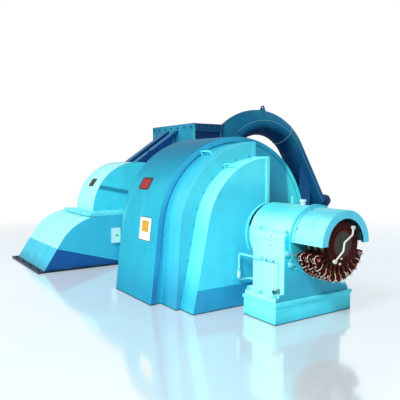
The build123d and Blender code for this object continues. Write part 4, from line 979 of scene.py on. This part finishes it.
class HYDRO_OT_finish_rotor(bpy.types.Operator):
    """Finishes the shaft, the slip rings with their drum and lead, and the brush gear's solids"""
    bl_idname = "hydro.finish_rotor"
    bl_label = "Finish rotor and brush gear"

    def execute(self, context):
        paints = context.scene.hydro_paints
        put_on(varnish("drum_varnish", srgb(66, 16, 14), srgb(34, 10, 8)), "slip_ring_drum")
        put_on(varnish("yoke_varnish", paints.varnish, srgb(34, 8, 10)), "brush_yokes")
        put_on(varnish("knob_varnish", srgb(38, 10, 12), srgb(16, 6, 8)), "terminal_knobs")
        put_on(bare_metal("ring_steel", srgb(150, 140, 132), 0.22, (70.0, 2.0, 2.0), srgb(96, 60, 44)),
               "slip_rings")
        # The brush holders' dark maroon is painted shade in the gap between the yokes and the drum
        put_on(bare_metal("holder_brass", srgb(86, 34, 26), 0.46, (20.0, 20.0, 20.0), srgb(52, 20, 16)),
               "brush_holders")
        put_on(bare_metal("stud_steel", srgb(170, 168, 160), 0.3, (2.0, 60.0, 60.0)), "brush_studs")
        put_on(bare_metal("shaft_steel", srgb(70, 70, 70), 0.40, (50.0, 6.0, 6.0), srgb(58, 58, 44), 0.6,
                          turned=2.2), "main_shaft")
        put_on(moulded("lead_sleeving", srgb(240, 238, 226), 0.42, 0.14), "slip_ring_lead")
        return {"FINISHED"}


class HYDRO_OT_small_finishes(bpy.types.Operator):
    """Mixes the small pieces' finishes: bolts, seams, plates, terminals, brushes and braids"""
    bl_idname = "hydro.small_finishes"
    bl_label = "Mix small finishes"

    def execute(self, context):
        for make, finishes in (
                (fastener_steel, (
                    ("painted_bolt", srgb(50, 170, 206)),
                    ("pale_bolt", srgb(120, 222, 232)),
                    ("zinc_bolt", srgb(206, 206, 198), srgb(140, 110, 76)),
                    ("dark_bolt", srgb(24, 40, 62)),
                    ("teal_bolt", srgb(18, 84, 116)))),
                (weld_metal, (
                    ("turquoise_weld", srgb(52, 190, 222)),
                    ("pale_weld", srgb(126, 240, 246)),
                    # Pale weld paint for the pipe's crown and lengthwise seams: a painted highlight along the
                    # beads
                    ("pipe_weld", srgb(96, 150, 168)),
                    ("pipe_bead", srgb(6, 60, 96)),
                    ("navy_weld", srgb(20, 70, 116)))),
                (moulded, (
                    ("plate_red", srgb(150, 22, 34), 0.42, 0.6),
                    ("plate_dark", srgb(36, 24, 28), 0.34, 0.4),
                    ("plate_white", srgb(226, 240, 244), 0.28, 0.08),
                    ("plate_amber", srgb(214, 160, 40), 0.32, 0.14),
                    ("indicator_green", srgb(60, 196, 128), 0.2, 0.1),
                    ("carbon", srgb(30, 26, 26), 0.5, 0.3),
                    ("terminal_white", srgb(244, 240, 230), 0.3, 0.12),
                    ("terminal_red", srgb(176, 44, 50), 0.3, 0.3),
                    ("bead_maroon", srgb(104, 20, 20), 0.3, 0.3))),
                (braid, (
                    ("braid_copper", srgb(190, 118, 84)),
                    ("braid_cream", srgb(238, 224, 200)),
                    ("braid_rose", srgb(218, 150, 140))))):
            for values in finishes:
                make(*values)
        return {"FINISHED"}


class HYDRO_OT_cover_bolts(bpy.types.Operator):
    """Bolts the half covers down round their outlines and screws their split lips"""
    bl_idname = "hydro.cover_bolts"
    bl_label = "Cover bolts"

    def execute(self, context):
        sizes = context.scene.hydro_fasteners
        bolts, lips = [], []
        for arch, face, start in ((AIR_COVER, PLATE_FACE, 0.20), (END_COVER, AIR_FACE, 0.16)):
            for y, z, _, _ in arch.spaced(sizes.cover_pitch, start, arch.half_length - 0.09, 0.019):
                bolts += [turn @ facing((face, y, z), AHEAD) for turn in BOTH_ENDS]
        for arch, face, setbacks in ((AIR_COVER, AIR_FACE, (0.10, 0.24)),
                                     (END_COVER, END_FACE, (0.07, 0.18))):
            y, z, out_y, out_z = arch.at(arch.half_length - 0.023, 0.012)
            for setback in setbacks:
                lips += [turn @ facing((face - setback, y, z), (0, out_y, out_z)) for turn in BOTH_ENDS]
        fasten("cover_bolts", bolt_head(sizes.cover_bolt), bolts, "painted_bolt")
        fasten("lip_screws", round_head(0.008, 0.005), lips, "painted_bolt")
        return {"FINISHED"}


class HYDRO_OT_housing_welds(bpy.types.Operator):
    """Lays the weld beads along the covers' feet and round the seal rings"""
    bl_idname = "hydro.housing_welds"
    bl_label = "Housing welds"

    def execute(self, context):
        bead = 0.6 * context.scene.hydro_fasteners.weld_bead
        feet = bmesh.new()
        for arch, face in ((AIR_COVER, PLATE_FACE), (END_COVER, AIR_FACE)):
            foot = Vector((face, *arch.at(0.01)[:2]))
            knee = Vector((face, *arch.at(arch.side)[:2]))
            section = bmesh.ops.create_circle(feet, segments=6, radius=bead, matrix=facing(foot, knee - foot))
            upper = drawn_out(feet, rim_edges(section), knee - foot)
            bmesh.ops.spin(feet, geom=upper, cent=(0, 0, arch.centre), axis=(-1, 0, 0),
                           angle=pi / 2 - arch.lean - 0.05 / arch.radius, steps=28)
        fasten("cover_welds", close_ends(feet), BOTH_ENDS, "turquoise_weld")

        collar = bmesh.new()
        arc_bead(collar, (END_FACE, 0, SHAFT_HEIGHT), SEAL_RADIUS, 98, 262, 0.004, 6, 48)
        fasten("seal_ring_welds", close_ends(collar), BOTH_ENDS, "pale_weld")
        return {"FINISHED"}


def curved_plate(place, centre_z, radius, thickness):
    """A thin plate bent round a cylinder along X; its place is a range of X and two angles from +Y."""
    bm = bmesh.new()
    x_range, (start, end) = place
    centre = Vector((0, 0, centre_z))
    first = [bm.verts.new(Vector((x, 0, centre_z)) + heading(start) * radius) for x in x_range]
    bmesh.ops.spin(bm, geom=[bm.edges.new(first)], cent=centre, axis=AHEAD,
                   angle=radians(end - start), steps=8)
    bmesh.ops.recalc_face_normals(bm, faces=bm.faces)
    if sum(face.normal.dot(face.calc_center_median() - centre) for face in bm.faces) < 0:
        bmesh.ops.reverse_faces(bm, faces=bm.faces)
    bmesh.ops.solidify(bm, geom=bm.faces[:], thickness=-thickness)
    return bm


def corner_rivets(place, centre_z, radius):
    """Where the rivets sit at the corners of a curved plate."""
    (back, front), (start, end) = place
    return [facing(Vector((x, 0, centre_z)) + heading(angle) * (radius + 0.0035), heading(angle))
            for x in (back + 0.010, front - 0.010) for angle in (start + 0.5, end - 0.5)]


def flat_plate(width, height, thickness, placement, round_off):
    """A thin plate lying on the placement's XY plane, its corners rounded."""
    bm = bmesh.new()
    bmesh.ops.create_grid(bm, x_segments=1, y_segments=1, size=0.5)
    bmesh.ops.scale(bm, vec=(width, height, 1), verts=bm.verts)
    soften(bm, bm.verts[:], round_off, 4, "VERTICES")
    drawn = bmesh.ops.extrude_face_region(bm, geom=bm.faces[:])["geom"]
    bmesh.ops.translate(bm, vec=(0, 0, thickness), verts=of_kind(drawn, bmesh.types.BMVert))
    bmesh.ops.recalc_face_normals(bm, faces=bm.faces)
    bmesh.ops.transform(bm, matrix=placement, verts=bm.verts)
    return bm


class HYDRO_OT_plates(bpy.types.Operator):
    """Fixes the bare plates on the generator's side and the turbine's hood"""
    bl_idname = "hydro.plates"
    bl_label = "Bare plates"

    def execute(self, context):
        housing, hood = (STATOR.centre, STATOR.radius), (SHAFT_HEIGHT, TURBINE_HOOD_RADIUS)
        (back, front), (start, end) = ARCH_PLATE
        field = (back + 0.030, front - 0.030), (start + 1.4, end - 1.0)
        for name, place, (centre, radius), lift, thickness, finish, slot in (
                ("arch_plate", ARCH_PLATE, housing, 0.0005, 0.003, "plate_dark", "fitting_steel"),
                ("arch_plate_field", field, housing, 0.0032, 0.0012, "plate_red", "maroon_varnish"),
                ("hood_plate_label", HOOD_LABEL, hood, 0.0005, 0.003, "plate_dark", "fitting_steel")):
            piece(name, curved_plate(place, centre, radius + lift, thickness), finish)

        lean = STATOR.lean
        y, z, _, _ = STATOR.at(SIDE_PLATE_HEIGHT / cos(lean), 0.0005)
        upright = Matrix(((1, 0, 0), (0, sin(lean), -cos(lean)), (0, cos(lean), sin(lean))))
        placement = Matrix.Translation((SIDE_PLATE_X, y, z)) @ upright.to_4x4()
        lifted = placement @ Matrix.Translation((0, 0.030, 0.003))
        width, height = SIDE_PLATE
        backing = (width + SIDE_PLATE_RIM, height + SIDE_PLATE_RIM, 0.0016, placement, 0.016)
        for name, shape, finish, slot in (
                ("side_plate_backing", backing, "plate_dark", "fitting_steel"),
                ("side_plate", (width, height, 0.003, placement, 0.012), "plate_white", "white_enamel"),
                ("side_plate_field", (0.165, 0.130, 0.001, lifted, 0.010), "plate_amber", "holder_brass")):
            piece(name, flat_plate(*shape), finish)
        aside, upward = width / 2 - RIVET_INSET, height / 2 - RIVET_INSET
        rivets = [placement @ Matrix.Translation((side * aside, up * upward, 0.003))
                  for side in SIDES for up in SIDES]
        rivets += corner_rivets(ARCH_PLATE, *housing) + corner_rivets(HOOD_LABEL, *hood)
        fasten("plate_rivets", round_head(0.0045, 0.003), rivets, "zinc_bolt")
        return {"FINISHED"}


class HYDRO_OT_bearing_fittings(bpy.types.Operator):
    """Adds the bearings' bolts and nuts, the oil pipes' unions and clips and the valve's handwheel"""
    bl_idname = "hydro.bearing_fittings"
    bl_label = "Bearing fittings"

    def execute(self, context):
        self.bolts(context.scene.hydro_fasteners.foot_bolt)
        pipe_x, pipe_z = BASE_BACK + 0.165, SHAFT_HEIGHT - 0.203
        drain_x = pipe_x + 0.040
        valve_x = drain_x + 0.225
        glass = (BASE_BACK - 0.190, -0.460, pipe_z - 0.225)
        unions = [facing((pipe_x, -PEDESTAL_SIDE, pipe_z), (0, -1, 0)),
                  facing((BASE_BACK, -0.310, pipe_z - 0.294), (-1, 0, 0))]
        unions += [facing(Vector(glass) + Vector((0, 0, step)), (0, 0, step)) for step in (-0.037, 0.037)]
        drains = [facing((drain_x, -PEDESTAL_SIDE, pipe_z), (0, -1, 0)),
                  facing((valve_x, DRAIN_PIPE_Y, 0.339), UP)]
        for name, radius, height, edge, places, finish in (
                ("pipe_unions", 0.024, 0.018, 0.003, unions, "pale_bolt"),
                ("drain_unions", 0.015, 0.014, 0.002, drains, "zinc_bolt")):
            collar = bmesh.new()
            bevel_top(collar, cone(collar, radius, radius, -0.001, height, 6), edge)
            fasten(name, collar, places, finish)
        self.clips((drain_x + 0.060, drain_x + 0.165), pipe_z)

        hub = Vector((valve_x, -0.506, 0.316))
        wheel = ring(bmesh.new(), 0.019, 0.0035, facing(hub, (0, -1, 0)), 24, 6)
        for spoke in range(5):
            turn = Matrix.Translation(hub) @ Matrix.Rotation(2 * pi * spoke / 5, 4, "Y")
            bmesh.ops.create_cone(wheel, cap_ends=True, segments=6, radius1=0.0024, radius2=0.0020,
                                  depth=0.018, matrix=turn @ Matrix.Translation((0, 0, 0.010)))
        piece("valve_handwheel", wheel, "teal_bolt")
        return {"FINISHED"}

    def bolts(self, foot_bolt):
        """Bolts down both bearings and screws on the front flange's hood."""
        feet, caps, small, flange = [], [], [], []
        for end in (FRONT, REAR):
            for side in SIDES:
                feet += [facing((end * x, side * FOOT_ROW, FOOT_TOP), UP)
                         for x in (BASE_BACK + 0.040, BASE_BACK + 0.230, PEDESTAL_FRONT - 0.040)]
                caps += [facing((end * x, side * CAP_ROW, CAP_SHOULDER), UP)
                         for x in (BASE_BACK + 0.062, PEDESTAL_FRONT - 0.045)]
                small += [facing((end * (BASE_BACK + 0.296), side * PEDESTAL_SIDE, z), (0, side, 0))
                          for z in (0.862, 0.768)]
            flange += [facing(around_shaft(angle, FLANGE_CIRCLE, end * BRUSH_BACK), (end, 0, 0))
                       for angle in range(207, 340, 21)]
        flange += [facing(around_shaft(angle, FLANGE_CIRCLE, REAR * BRUSH_BACK), (REAR, 0, 0))
                   for angle in range(15, 200, 30)]
        hood = [facing(around_shaft(angle, HOOD_RADIUS, BRUSH_BACK + 0.034), heading(angle))
                for angle in (23.5, 71.7, 108.3, 156.5)]
        face_nuts = [facing(around_shaft(mirrored, FACE_NUT_CIRCLE, PEDESTAL_FRONT), AHEAD)
                     for angle in (199, 208, 217, 226) for mirrored in (angle, 540 - angle)]
        for name, template, places, finish in (
                ("foot_nuts", stud_nut(foot_bolt), feet, "pale_bolt"),
                ("cap_nuts", stud_nut(0.030), caps, "pale_bolt"),
                ("small_screws", bolt_head(0.017, False), small, "pale_bolt"),
                ("hood_screws", bolt_head(0.015, False), hood, "painted_bolt"),
                ("pedestal_nuts", stud_nut(0.022), face_nuts, "pale_bolt"),
                ("bearing_flange_bolts", bolt_head(0.024), flange, "pale_bolt")):
            fasten(name, template, places, finish)

    def clips(self, places, pipe_z):
        """Holds the drain pipe to the pedestal's side with saddles on short feet."""
        clips = bmesh.new()
        for x in places:
            lying = Matrix.Translation((x - 0.007, DRAIN_PIPE_Y, pipe_z)) @ Matrix.Rotation(pi / 2, 4, "Y")
            saddle = bmesh.ops.create_circle(clips, segments=20, radius=0.0085, cap_ends=False, matrix=lying)
            drawn_out(clips, rim_edges(saddle), (0.014, 0, 0))
        bmesh.ops.recalc_face_normals(clips, faces=clips.faces)
        bmesh.ops.solidify(clips, geom=clips.faces[:], thickness=-0.0018)
        for x in places:
            brick(clips, (0.012, 0.022, 0.006), (x, -0.4405, pipe_z - 0.0105))
        piece("drain_clips", clips, "dark_bolt")


def braid_loop(radius, rise, thickness, segments=12):
    """Half a loop of braid standing on the local XY plane along X."""
    bm = bmesh.new()
    foot = Matrix.Translation((-radius, 0, 0))
    section = bmesh.ops.create_circle(bm, segments=7, radius=thickness, matrix=foot)
    bmesh.ops.spin(bm, geom=rim_edges(section), cent=(0, 0, 0), axis=(0, 1, 0), angle=pi, steps=segments)
    bmesh.ops.scale(bm, vec=(1, 1, rise / radius), verts=bm.verts)
    return close_ends(bm)


def coil_spring(radius, wire, length, turns):
    """A coil of wire along local Y."""
    bm = bmesh.new()
    end = Matrix.Translation((radius, -length / 2, 0))
    section = bmesh.ops.create_circle(bm, segments=5, radius=wire, matrix=end)
    steps = 10 * turns
    bmesh.ops.spin(bm, geom=rim_edges(section), cent=(0, 0, 0), axis=(0, 1, 0), dvec=(0, length / steps, 0),
                   angle=2 * pi * turns, steps=steps)
    return close_ends(bm)


class HYDRO_OT_brush_gear(bpy.types.Operator):
    """Adds carbon brushes, springs, pigtails, terminals and nuts round the slip rings"""
    bl_idname = "hydro.brush_gear"
    bl_label = "Brush gear"

    def execute(self, context):
        sizes = context.scene.hydro_fasteners
        carbons, springs, screws, rims, nuts = [], [], [], [], []
        loops = {"braid_cream": [], "braid_copper": [], "braid_rose": []}
        shades = ["braid_cream", "braid_cream", "braid_copper", "braid_cream", "braid_rose"]
        for row, plane in enumerate(BRUSH_PLANES):
            face = plane + YOKE_FACE
            for place, angle in enumerate(BRUSH_ANGLES):
                carbons.append(radial_frame(angle, CARBON_CIRCLE, plane))
                springs.append(radial_frame(angle + 4.6, SPRING_CIRCLE, plane + 0.004))
                loops[shades[(place + 2 * row) % 5]].append(radial_frame(angle + 1.5, BRAID_CIRCLE, face))
                screws.append(radial_frame(angle - 3.4, TERMINAL_CIRCLE, face))
                rims.append(facing(around_shaft(angle, YOKE_EDGE, plane), heading(angle)))
            nuts += [radial_frame(angle, STUD_CIRCLE, face) for angle in STUD_ANGLES[1:]]
        block = bmesh.new()
        brick(block, (0.008, 0.024, 0.038), (0, 0, 0))
        soften(block, block.edges[:], 0.0012)
        fasten("carbon_brushes", block, carbons, "carbon")
        fasten("brush_springs", coil_spring(0.0085, 0.0016, 0.018, sizes.spring_turns), springs, "zinc_bolt")
        for shade, places in loops.items():
            loop = braid_loop(0.0485, 0.034, sizes.pigtail)
            fasten(f"pigtails_{shade}", loop, places, shade)
        fasten("pigtail_screws", bolt_head(0.012), screws, "zinc_bolt")
        fasten("yoke_rim_screws", round_head(0.005, 0.004), rims, "zinc_bolt")
        fasten("yoke_nuts", bolt_head(0.019), nuts, "zinc_bolt")

        knobs = [radial_frame(STUD_ANGLES[0], STUD_CIRCLE, plane + KNOB_FACE) for plane in BRUSH_PLANES]
        # The white nuts on the first two knobs are painted highlights on the knobs' fronts
        fasten("terminal_bolts", stud_nut(0.020), knobs[:2], "terminal_white")
        fasten("terminal_bolt_red", stud_nut(0.020), knobs[2:], "terminal_red")
        hoops = bmesh.new()
        for plane in BRUSH_PLANES:
            centre = around_shaft(STUD_ANGLES[0], STUD_CIRCLE, plane + 0.035)
            arc_bead(hoops, centre, KNOB_RADIUS + 0.0035, 60, 250, 0.004, 7, 18)
        piece("terminal_hoops", close_ends(hoops), "braid_cream")
        self.drum_fittings()
        return {"FINISHED"}

    def drum_fittings(self):
        """Adds the screws, nuts, studs and bead that turn with the slip-ring drum."""
        screws = [facing(around_shaft(angle, DRUM_SCREW_CIRCLE, DRUM_FRONT), AHEAD)
                  for angle in range(18, 360, 45)]
        lead_face = high("slip_ring_lead", 0) - 0.0005
        nuts = [facing((lead_face, y, z), AHEAD) for y, z in LEAD_ENDS]
        studs = [facing((DRUM_FRONT, y, z), AHEAD) for y, z in DRUM_STUDS]
        fasten("drum_screws", bolt_head(0.011), screws, "dark_bolt", body=ROTOR)
        fasten("lead_nuts", stud_nut(0.013), nuts, "zinc_bolt", body=ROTOR)
        fasten("drum_studs", stud_nut(0.014), studs, "terminal_white", ROTOR)
        face = facing((DRUM_FRONT, 0, SHAFT_HEIGHT), AHEAD)
        bead = ring(bmesh.new(), SHAFT_BEAD_RADIUS, 0.005, face, 48, 6)
        piece("shaft_bead", bead, "bead_maroon", ROTOR)


class HYDRO_OT_turbine_fasteners(bpy.types.Operator):
    """Bolts down the turbine's split plate and base, dresses the small box and welds the hood's edges"""
    bl_idname = "hydro.turbine_fasteners"
    bl_label = "Turbine fasteners"

    def execute(self, context):
        plate_low, plate_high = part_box("turbine_hood_plate")
        top = [facing((x, plate_low.y + 0.045, HOOD_PLATE_TOP), UP)
               for x in spread(plate_low.x + 0.06, plate_high.x - 0.06, 6)]
        for y in (-0.90, -0.76, -0.62, -0.48, -0.34, 0.34, 0.48, 0.62, 0.76):
            top.append(facing((plate_high.x - 0.050, y, HOOD_PLATE_TOP), UP))
            if abs(y) < 0.7:
                top.append(facing((plate_low.x + 0.036, y, HOOD_PLATE_TOP), UP))
        fasten("split_bolts", bolt_head(0.018), top, "pale_bolt")

        level = high("turbine_base_flange", 2)
        anchors = [facing((x, side * ANCHOR_ROW, level), UP) for side in SIDES
                   for x in spread(CASING_BACK + 0.10, CASING_FRONT - 0.10, 4)]
        fasten("anchor_nuts", stud_nut(0.024), anchors, "dark_bolt")
        self.dress_box()

        bead = 0.6 * context.scene.hydro_fasteners.weld_bead
        seam = bmesh.new()
        for x in (low("turbine_hood", 0), high("turbine_hood", 0)):
            arc_bead(seam, (x, 0, SHAFT_HEIGHT), TURBINE_HOOD_RADIUS, 1.8, 178.2, bead, 6, 64)
        piece("hood_edge_welds", close_ends(seam), "turquoise_weld")
        return {"FINISHED"}

    def dress_box(self):
        """Gives the small box its indicator, clamps and cover screws."""
        box_low, box_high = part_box("casing_box")
        middle = (box_low + box_high) / 2
        face = box_high.x - 0.0005
        button = bmesh.new()
        bevel_top(button, cone(button, 0.022, 0.018, 0.0, 0.010, 24), 0.003)
        centre = facing((face, middle.y, middle.z), AHEAD)
        fasten("box_indicator", button, [centre], "indicator_green")
        clamps = bmesh.new()
        for z in (0.560, 0.380):
            brick(clamps, (0.058, 0.020, 0.030), (box_high.x - 0.034, box_high.y + 0.0095, z))
        soften(clamps, clamps.edges[:], 0.003, 2)
        piece("box_clamps", clamps, "dark_bolt")
        screws = [facing((face, middle.y + side * 0.050, middle.z + up * 0.098), AHEAD)
                  for side in SIDES for up in SIDES]
        fasten("box_screws", round_head(0.006, 0.004), screws, "zinc_bolt")


class HYDRO_OT_chamber_fasteners(bpy.types.Operator):
    """Bolts the lid's edge round the nozzle chamber"""
    bl_idname = "hydro.chamber_fasteners"
    bl_label = "Chamber fasteners"

    def execute(self, context):
        start, end = CHAMBER_BACK + 0.05, high("nozzle_chamber", 0) - 0.05
        level = CHAMBER_TOP - 0.045
        count = round((end - start) / context.scene.hydro_fasteners.chamber_pitch)
        placements = [facing((x, y, level), (0, out, 0)) for x in spread(start, end, count + 1)
                      for y, out in ((CHAMBER_NEAR, -1), (CHAMBER_FAR, 1))]
        placements += [facing((x, y, level), (out, 0, 0))
                       for y in spread(CHAMBER_NEAR + 0.06, CHAMBER_FAR - 0.06, 5)
                       for x, out in ((start - 0.05, -1), (end + 0.05, 1))]
        fasten("chamber_bolts", bolt_head(0.024), placements, "teal_bolt")
        return {"FINISHED"}


class HYDRO_OT_pipe_welds(bpy.types.Operator):
    """Lays the feed pipe's girth and lengthwise weld seams"""
    bl_idname = "hydro.pipe_welds"
    bl_label = "Pipe welds"

    def execute(self, context):
        bead = context.scene.hydro_fasteners.weld_bead
        plain, bright = [], []
        for angle in (-PIPE_CLIMB, *SEAM_ANGLES, PIPE_FALL):
            girth = facing(BEND_CENTRE + heading(90 - angle) * BEND_RADIUS, heading(-angle))
            # The girth near the crown takes the pale weld paint, a painted highlight; the other girths stay
            # dark
            (bright if angle == SEAM_ANGLES[1] else plain).append(girth)
        for name, girths, finish, share in (("pipe_girth_welds", plain, "pipe_bead", 0.5),
                                            ("pipe_crown_weld", bright, "pipe_weld", 1.0)):
            template = ring(bmesh.new(), PIPE_RADIUS, bead * share, Matrix.Identity(4))
            fasten(name, template, girths, finish)

        down = heading(-PIPE_FALL)
        foot = BEND_END + down * (LEG_LENGTH - 0.096)
        hub = ring(bmesh.new(), PIPE_RADIUS, 1.3 * bead, facing(foot, down))
        piece("flange_weld", hub, "navy_weld")

        seam = bmesh.new()
        side = Vector((sqrt(PIPE_RADIUS ** 2 - LONG_SEAM_RISE ** 2), 0, 0))
        last = arc_bead(seam, BEND_CENTRE + side, BEND_RADIUS + LONG_SEAM_RISE, 90 + PIPE_CLIMB,
                        90 - PIPE_FALL, 0.75 * bead, 7, 56)["geom_last"]
        drawn_out(seam, of_kind(last, bmesh.types.BMEdge), down * (LEG_LENGTH - 0.10))
        # The lengthwise seam's pale paint is a painted highlight along it
        piece("pipe_long_weld", close_ends(seam), "pipe_weld")
        return {"FINISHED"}


def lamp(name, place, aim, size, power, colour=(1.0, 1.0, 1.0)):
    """A soft square lamp that looks at a point."""
    data = bpy.data.lights.new(name, "AREA")
    data.shape, data.size, data.energy, data.color = "SQUARE", size, power, colour
    made = bpy.data.objects.new(name, data)
    bpy.context.scene.collection.objects.link(made)
    made.location = place
    made.rotation_euler = (Vector(aim) - Vector(place)).to_track_quat("-Z", "Y").to_euler()


class HYDRO_OT_stage(bpy.types.Operator):
    """Sets the pale floor, the sky, the soft lamps and the camera"""
    bl_idname = "hydro.stage"
    bl_label = "Stage"

    def execute(self, context):
        stage = context.scene.hydro_stage
        bm = bmesh.new()
        bmesh.ops.create_circle(bm, cap_ends=True, segments=64, radius=stage.floor_size)
        mesh = bpy.data.meshes.new("floor")
        bm.to_mesh(mesh)
        bm.free()
        floor = bpy.data.objects.new("floor", mesh)
        context.scene.collection.objects.link(floor)
        mesh.materials.append(self.floor_finish())
        floor.location.z = -0.001

        world = bpy.data.worlds.new("sky")
        context.scene.world = world
        sky = Nodes(world)
        plain = sky.node("ShaderNodeBackground", inputs={"Color": (1, 1, 1, 1)})
        light = sky.node("ShaderNodeBackground", inputs={
            "Color": (0.90, 0.97, 1.0, 1), "Strength": stage.sky})
        mixed = sky.node("ShaderNodeMixShader", inputs={0: sky.seen(), 1: light, 2: plain})
        sky.node("ShaderNodeOutputWorld", inputs={"Surface": mixed})

        lamp("key_lamp", (4.6, -6.4, 6.0), (0.2, -0.3, 0.8), 1.8, stage.key_power, (1.0, 0.99, 0.96))
        lamp("turbine_lamp", (-3.4, -5.2, 3.6), (-2.7, -0.6, 0.8), 1.6, stage.fill_power)
        lamp("far_lamp", (-1.0, 7.5, 6.0), (-1.4, 1.0, 1.0), 3.0, stage.far_power)

        camera_data = bpy.data.cameras.new("view_camera")
        camera_data.lens, camera_data.sensor_width, camera_data.sensor_fit = LENS, SENSOR, "HORIZONTAL"
        camera_data.clip_end = 400.0
        camera = bpy.data.objects.new("view_camera", camera_data)
        context.scene.collection.objects.link(camera)
        forward = Vector((-cos(YAW) * cos(PITCH), sin(YAW) * cos(PITCH), -sin(PITCH)))
        camera.location = EYE
        camera.rotation_euler = forward.to_track_quat("-Z", "Y").to_euler()
        context.scene.camera = camera
        context.scene.view_settings.view_transform = "Standard"
        return {"FINISHED"}

    def floor_finish(self):
        """Pale glossy floor: bright to the eye, plain to the light, and mirroring near the set."""
        finish = Finish("floor_paint")
        cloud = finish.noise(0.6, 3.0)
        plain = finish.node("ShaderNodeBsdfDiffuse", inputs={
            "Color": finish.mix(cloud, srgb(204, 234, 248), srgb(214, 240, 250))})
        bright = finish.node("ShaderNodeEmission", inputs={"Color": (1, 1, 1, 1), "Strength": 1.0})
        centre = finish.node("ShaderNodeVectorMath", {"operation": "DISTANCE"}, {
            0: finish.place, 1: (-0.6, 0.0, 0.0)}, "Value")
        away = finish.smooth(centre, 3.5, 9.0)
        base = finish.node("ShaderNodeMixShader", inputs={
            0: finish.seen() * (0.50 + 0.50 * away), 1: plain, 2: bright})
        mirror = finish.node("ShaderNodeBsdfGlossy", inputs={
            "Color": (0.92, 0.97, 1.0, 1), "Roughness": 0.09 + 0.04 * cloud})
        grazing = finish.node("ShaderNodeLayerWeight", inputs={"Blend": 0.35}, output="Fresnel")
        share = (1.0 - away) * (0.34 + 0.25 * grazing)
        return finish.surface(finish.node("ShaderNodeMixShader", inputs={0: share, 1: base, 2: mirror}))


STEPS = (
    HYDRO_OT_paint_generator, HYDRO_OT_paint_bearings, HYDRO_OT_paint_turbine, HYDRO_OT_paint_feed_pipe,
    HYDRO_OT_finish_rotor, HYDRO_OT_small_finishes, HYDRO_OT_cover_bolts, HYDRO_OT_housing_welds,
    HYDRO_OT_plates, HYDRO_OT_bearing_fittings, HYDRO_OT_brush_gear, HYDRO_OT_turbine_fasteners,
    HYDRO_OT_chamber_fasteners, HYDRO_OT_pipe_welds, HYDRO_OT_stage,
)
SETTINGS = {"hydro_paints": SetPaints, "hydro_fasteners": SetFasteners, "hydro_stage": SetStage}


class HYDRO_PT_panel(bpy.types.Panel):
    """Lists the set's paints, fastener sizes, stage and steps"""
    bl_idname = "HYDRO_PT_panel"
    bl_label = "Hydroelectric set"
    bl_space_type = "VIEW_3D"
    bl_region_type = "UI"
    bl_category = "Hydro set"

    def draw(self, context):
        layout = self.layout
        for setting in SETTINGS:
            group = getattr(context.scene, setting)
            box = layout.box()
            box.label(text=setting.removeprefix("hydro_").capitalize())
            for name in group.bl_rna.properties.keys():
                if name not in ("rna_type", "name"):
                    box.prop(group, name)
        column = layout.column(align=True)
        for step in STEPS:
            column.operator(step.bl_idname)


CLASSES = (*SETTINGS.values(), *STEPS, HYDRO_PT_panel)


def register():
    """Registers the classes and hangs the settings on the scene."""
    for cls in CLASSES:
        bpy.utils.register_class(cls)
    for name, group in SETTINGS.items():
        setattr(bpy.types.Scene, name, PointerProperty(type=group))


def unregister():
    """Takes the settings and the classes away again."""
    for name in SETTINGS:
        delattr(bpy.types.Scene, name)
    for cls in reversed(CLASSES):
        bpy.utils.unregister_class(cls)


def main():
    """Runs every step in order."""
    register()
    for step in STEPS:
        group, name = step.bl_idname.split(".")
        getattr(getattr(bpy.ops, group), name)()


if __name__ == "__main__":
    main()
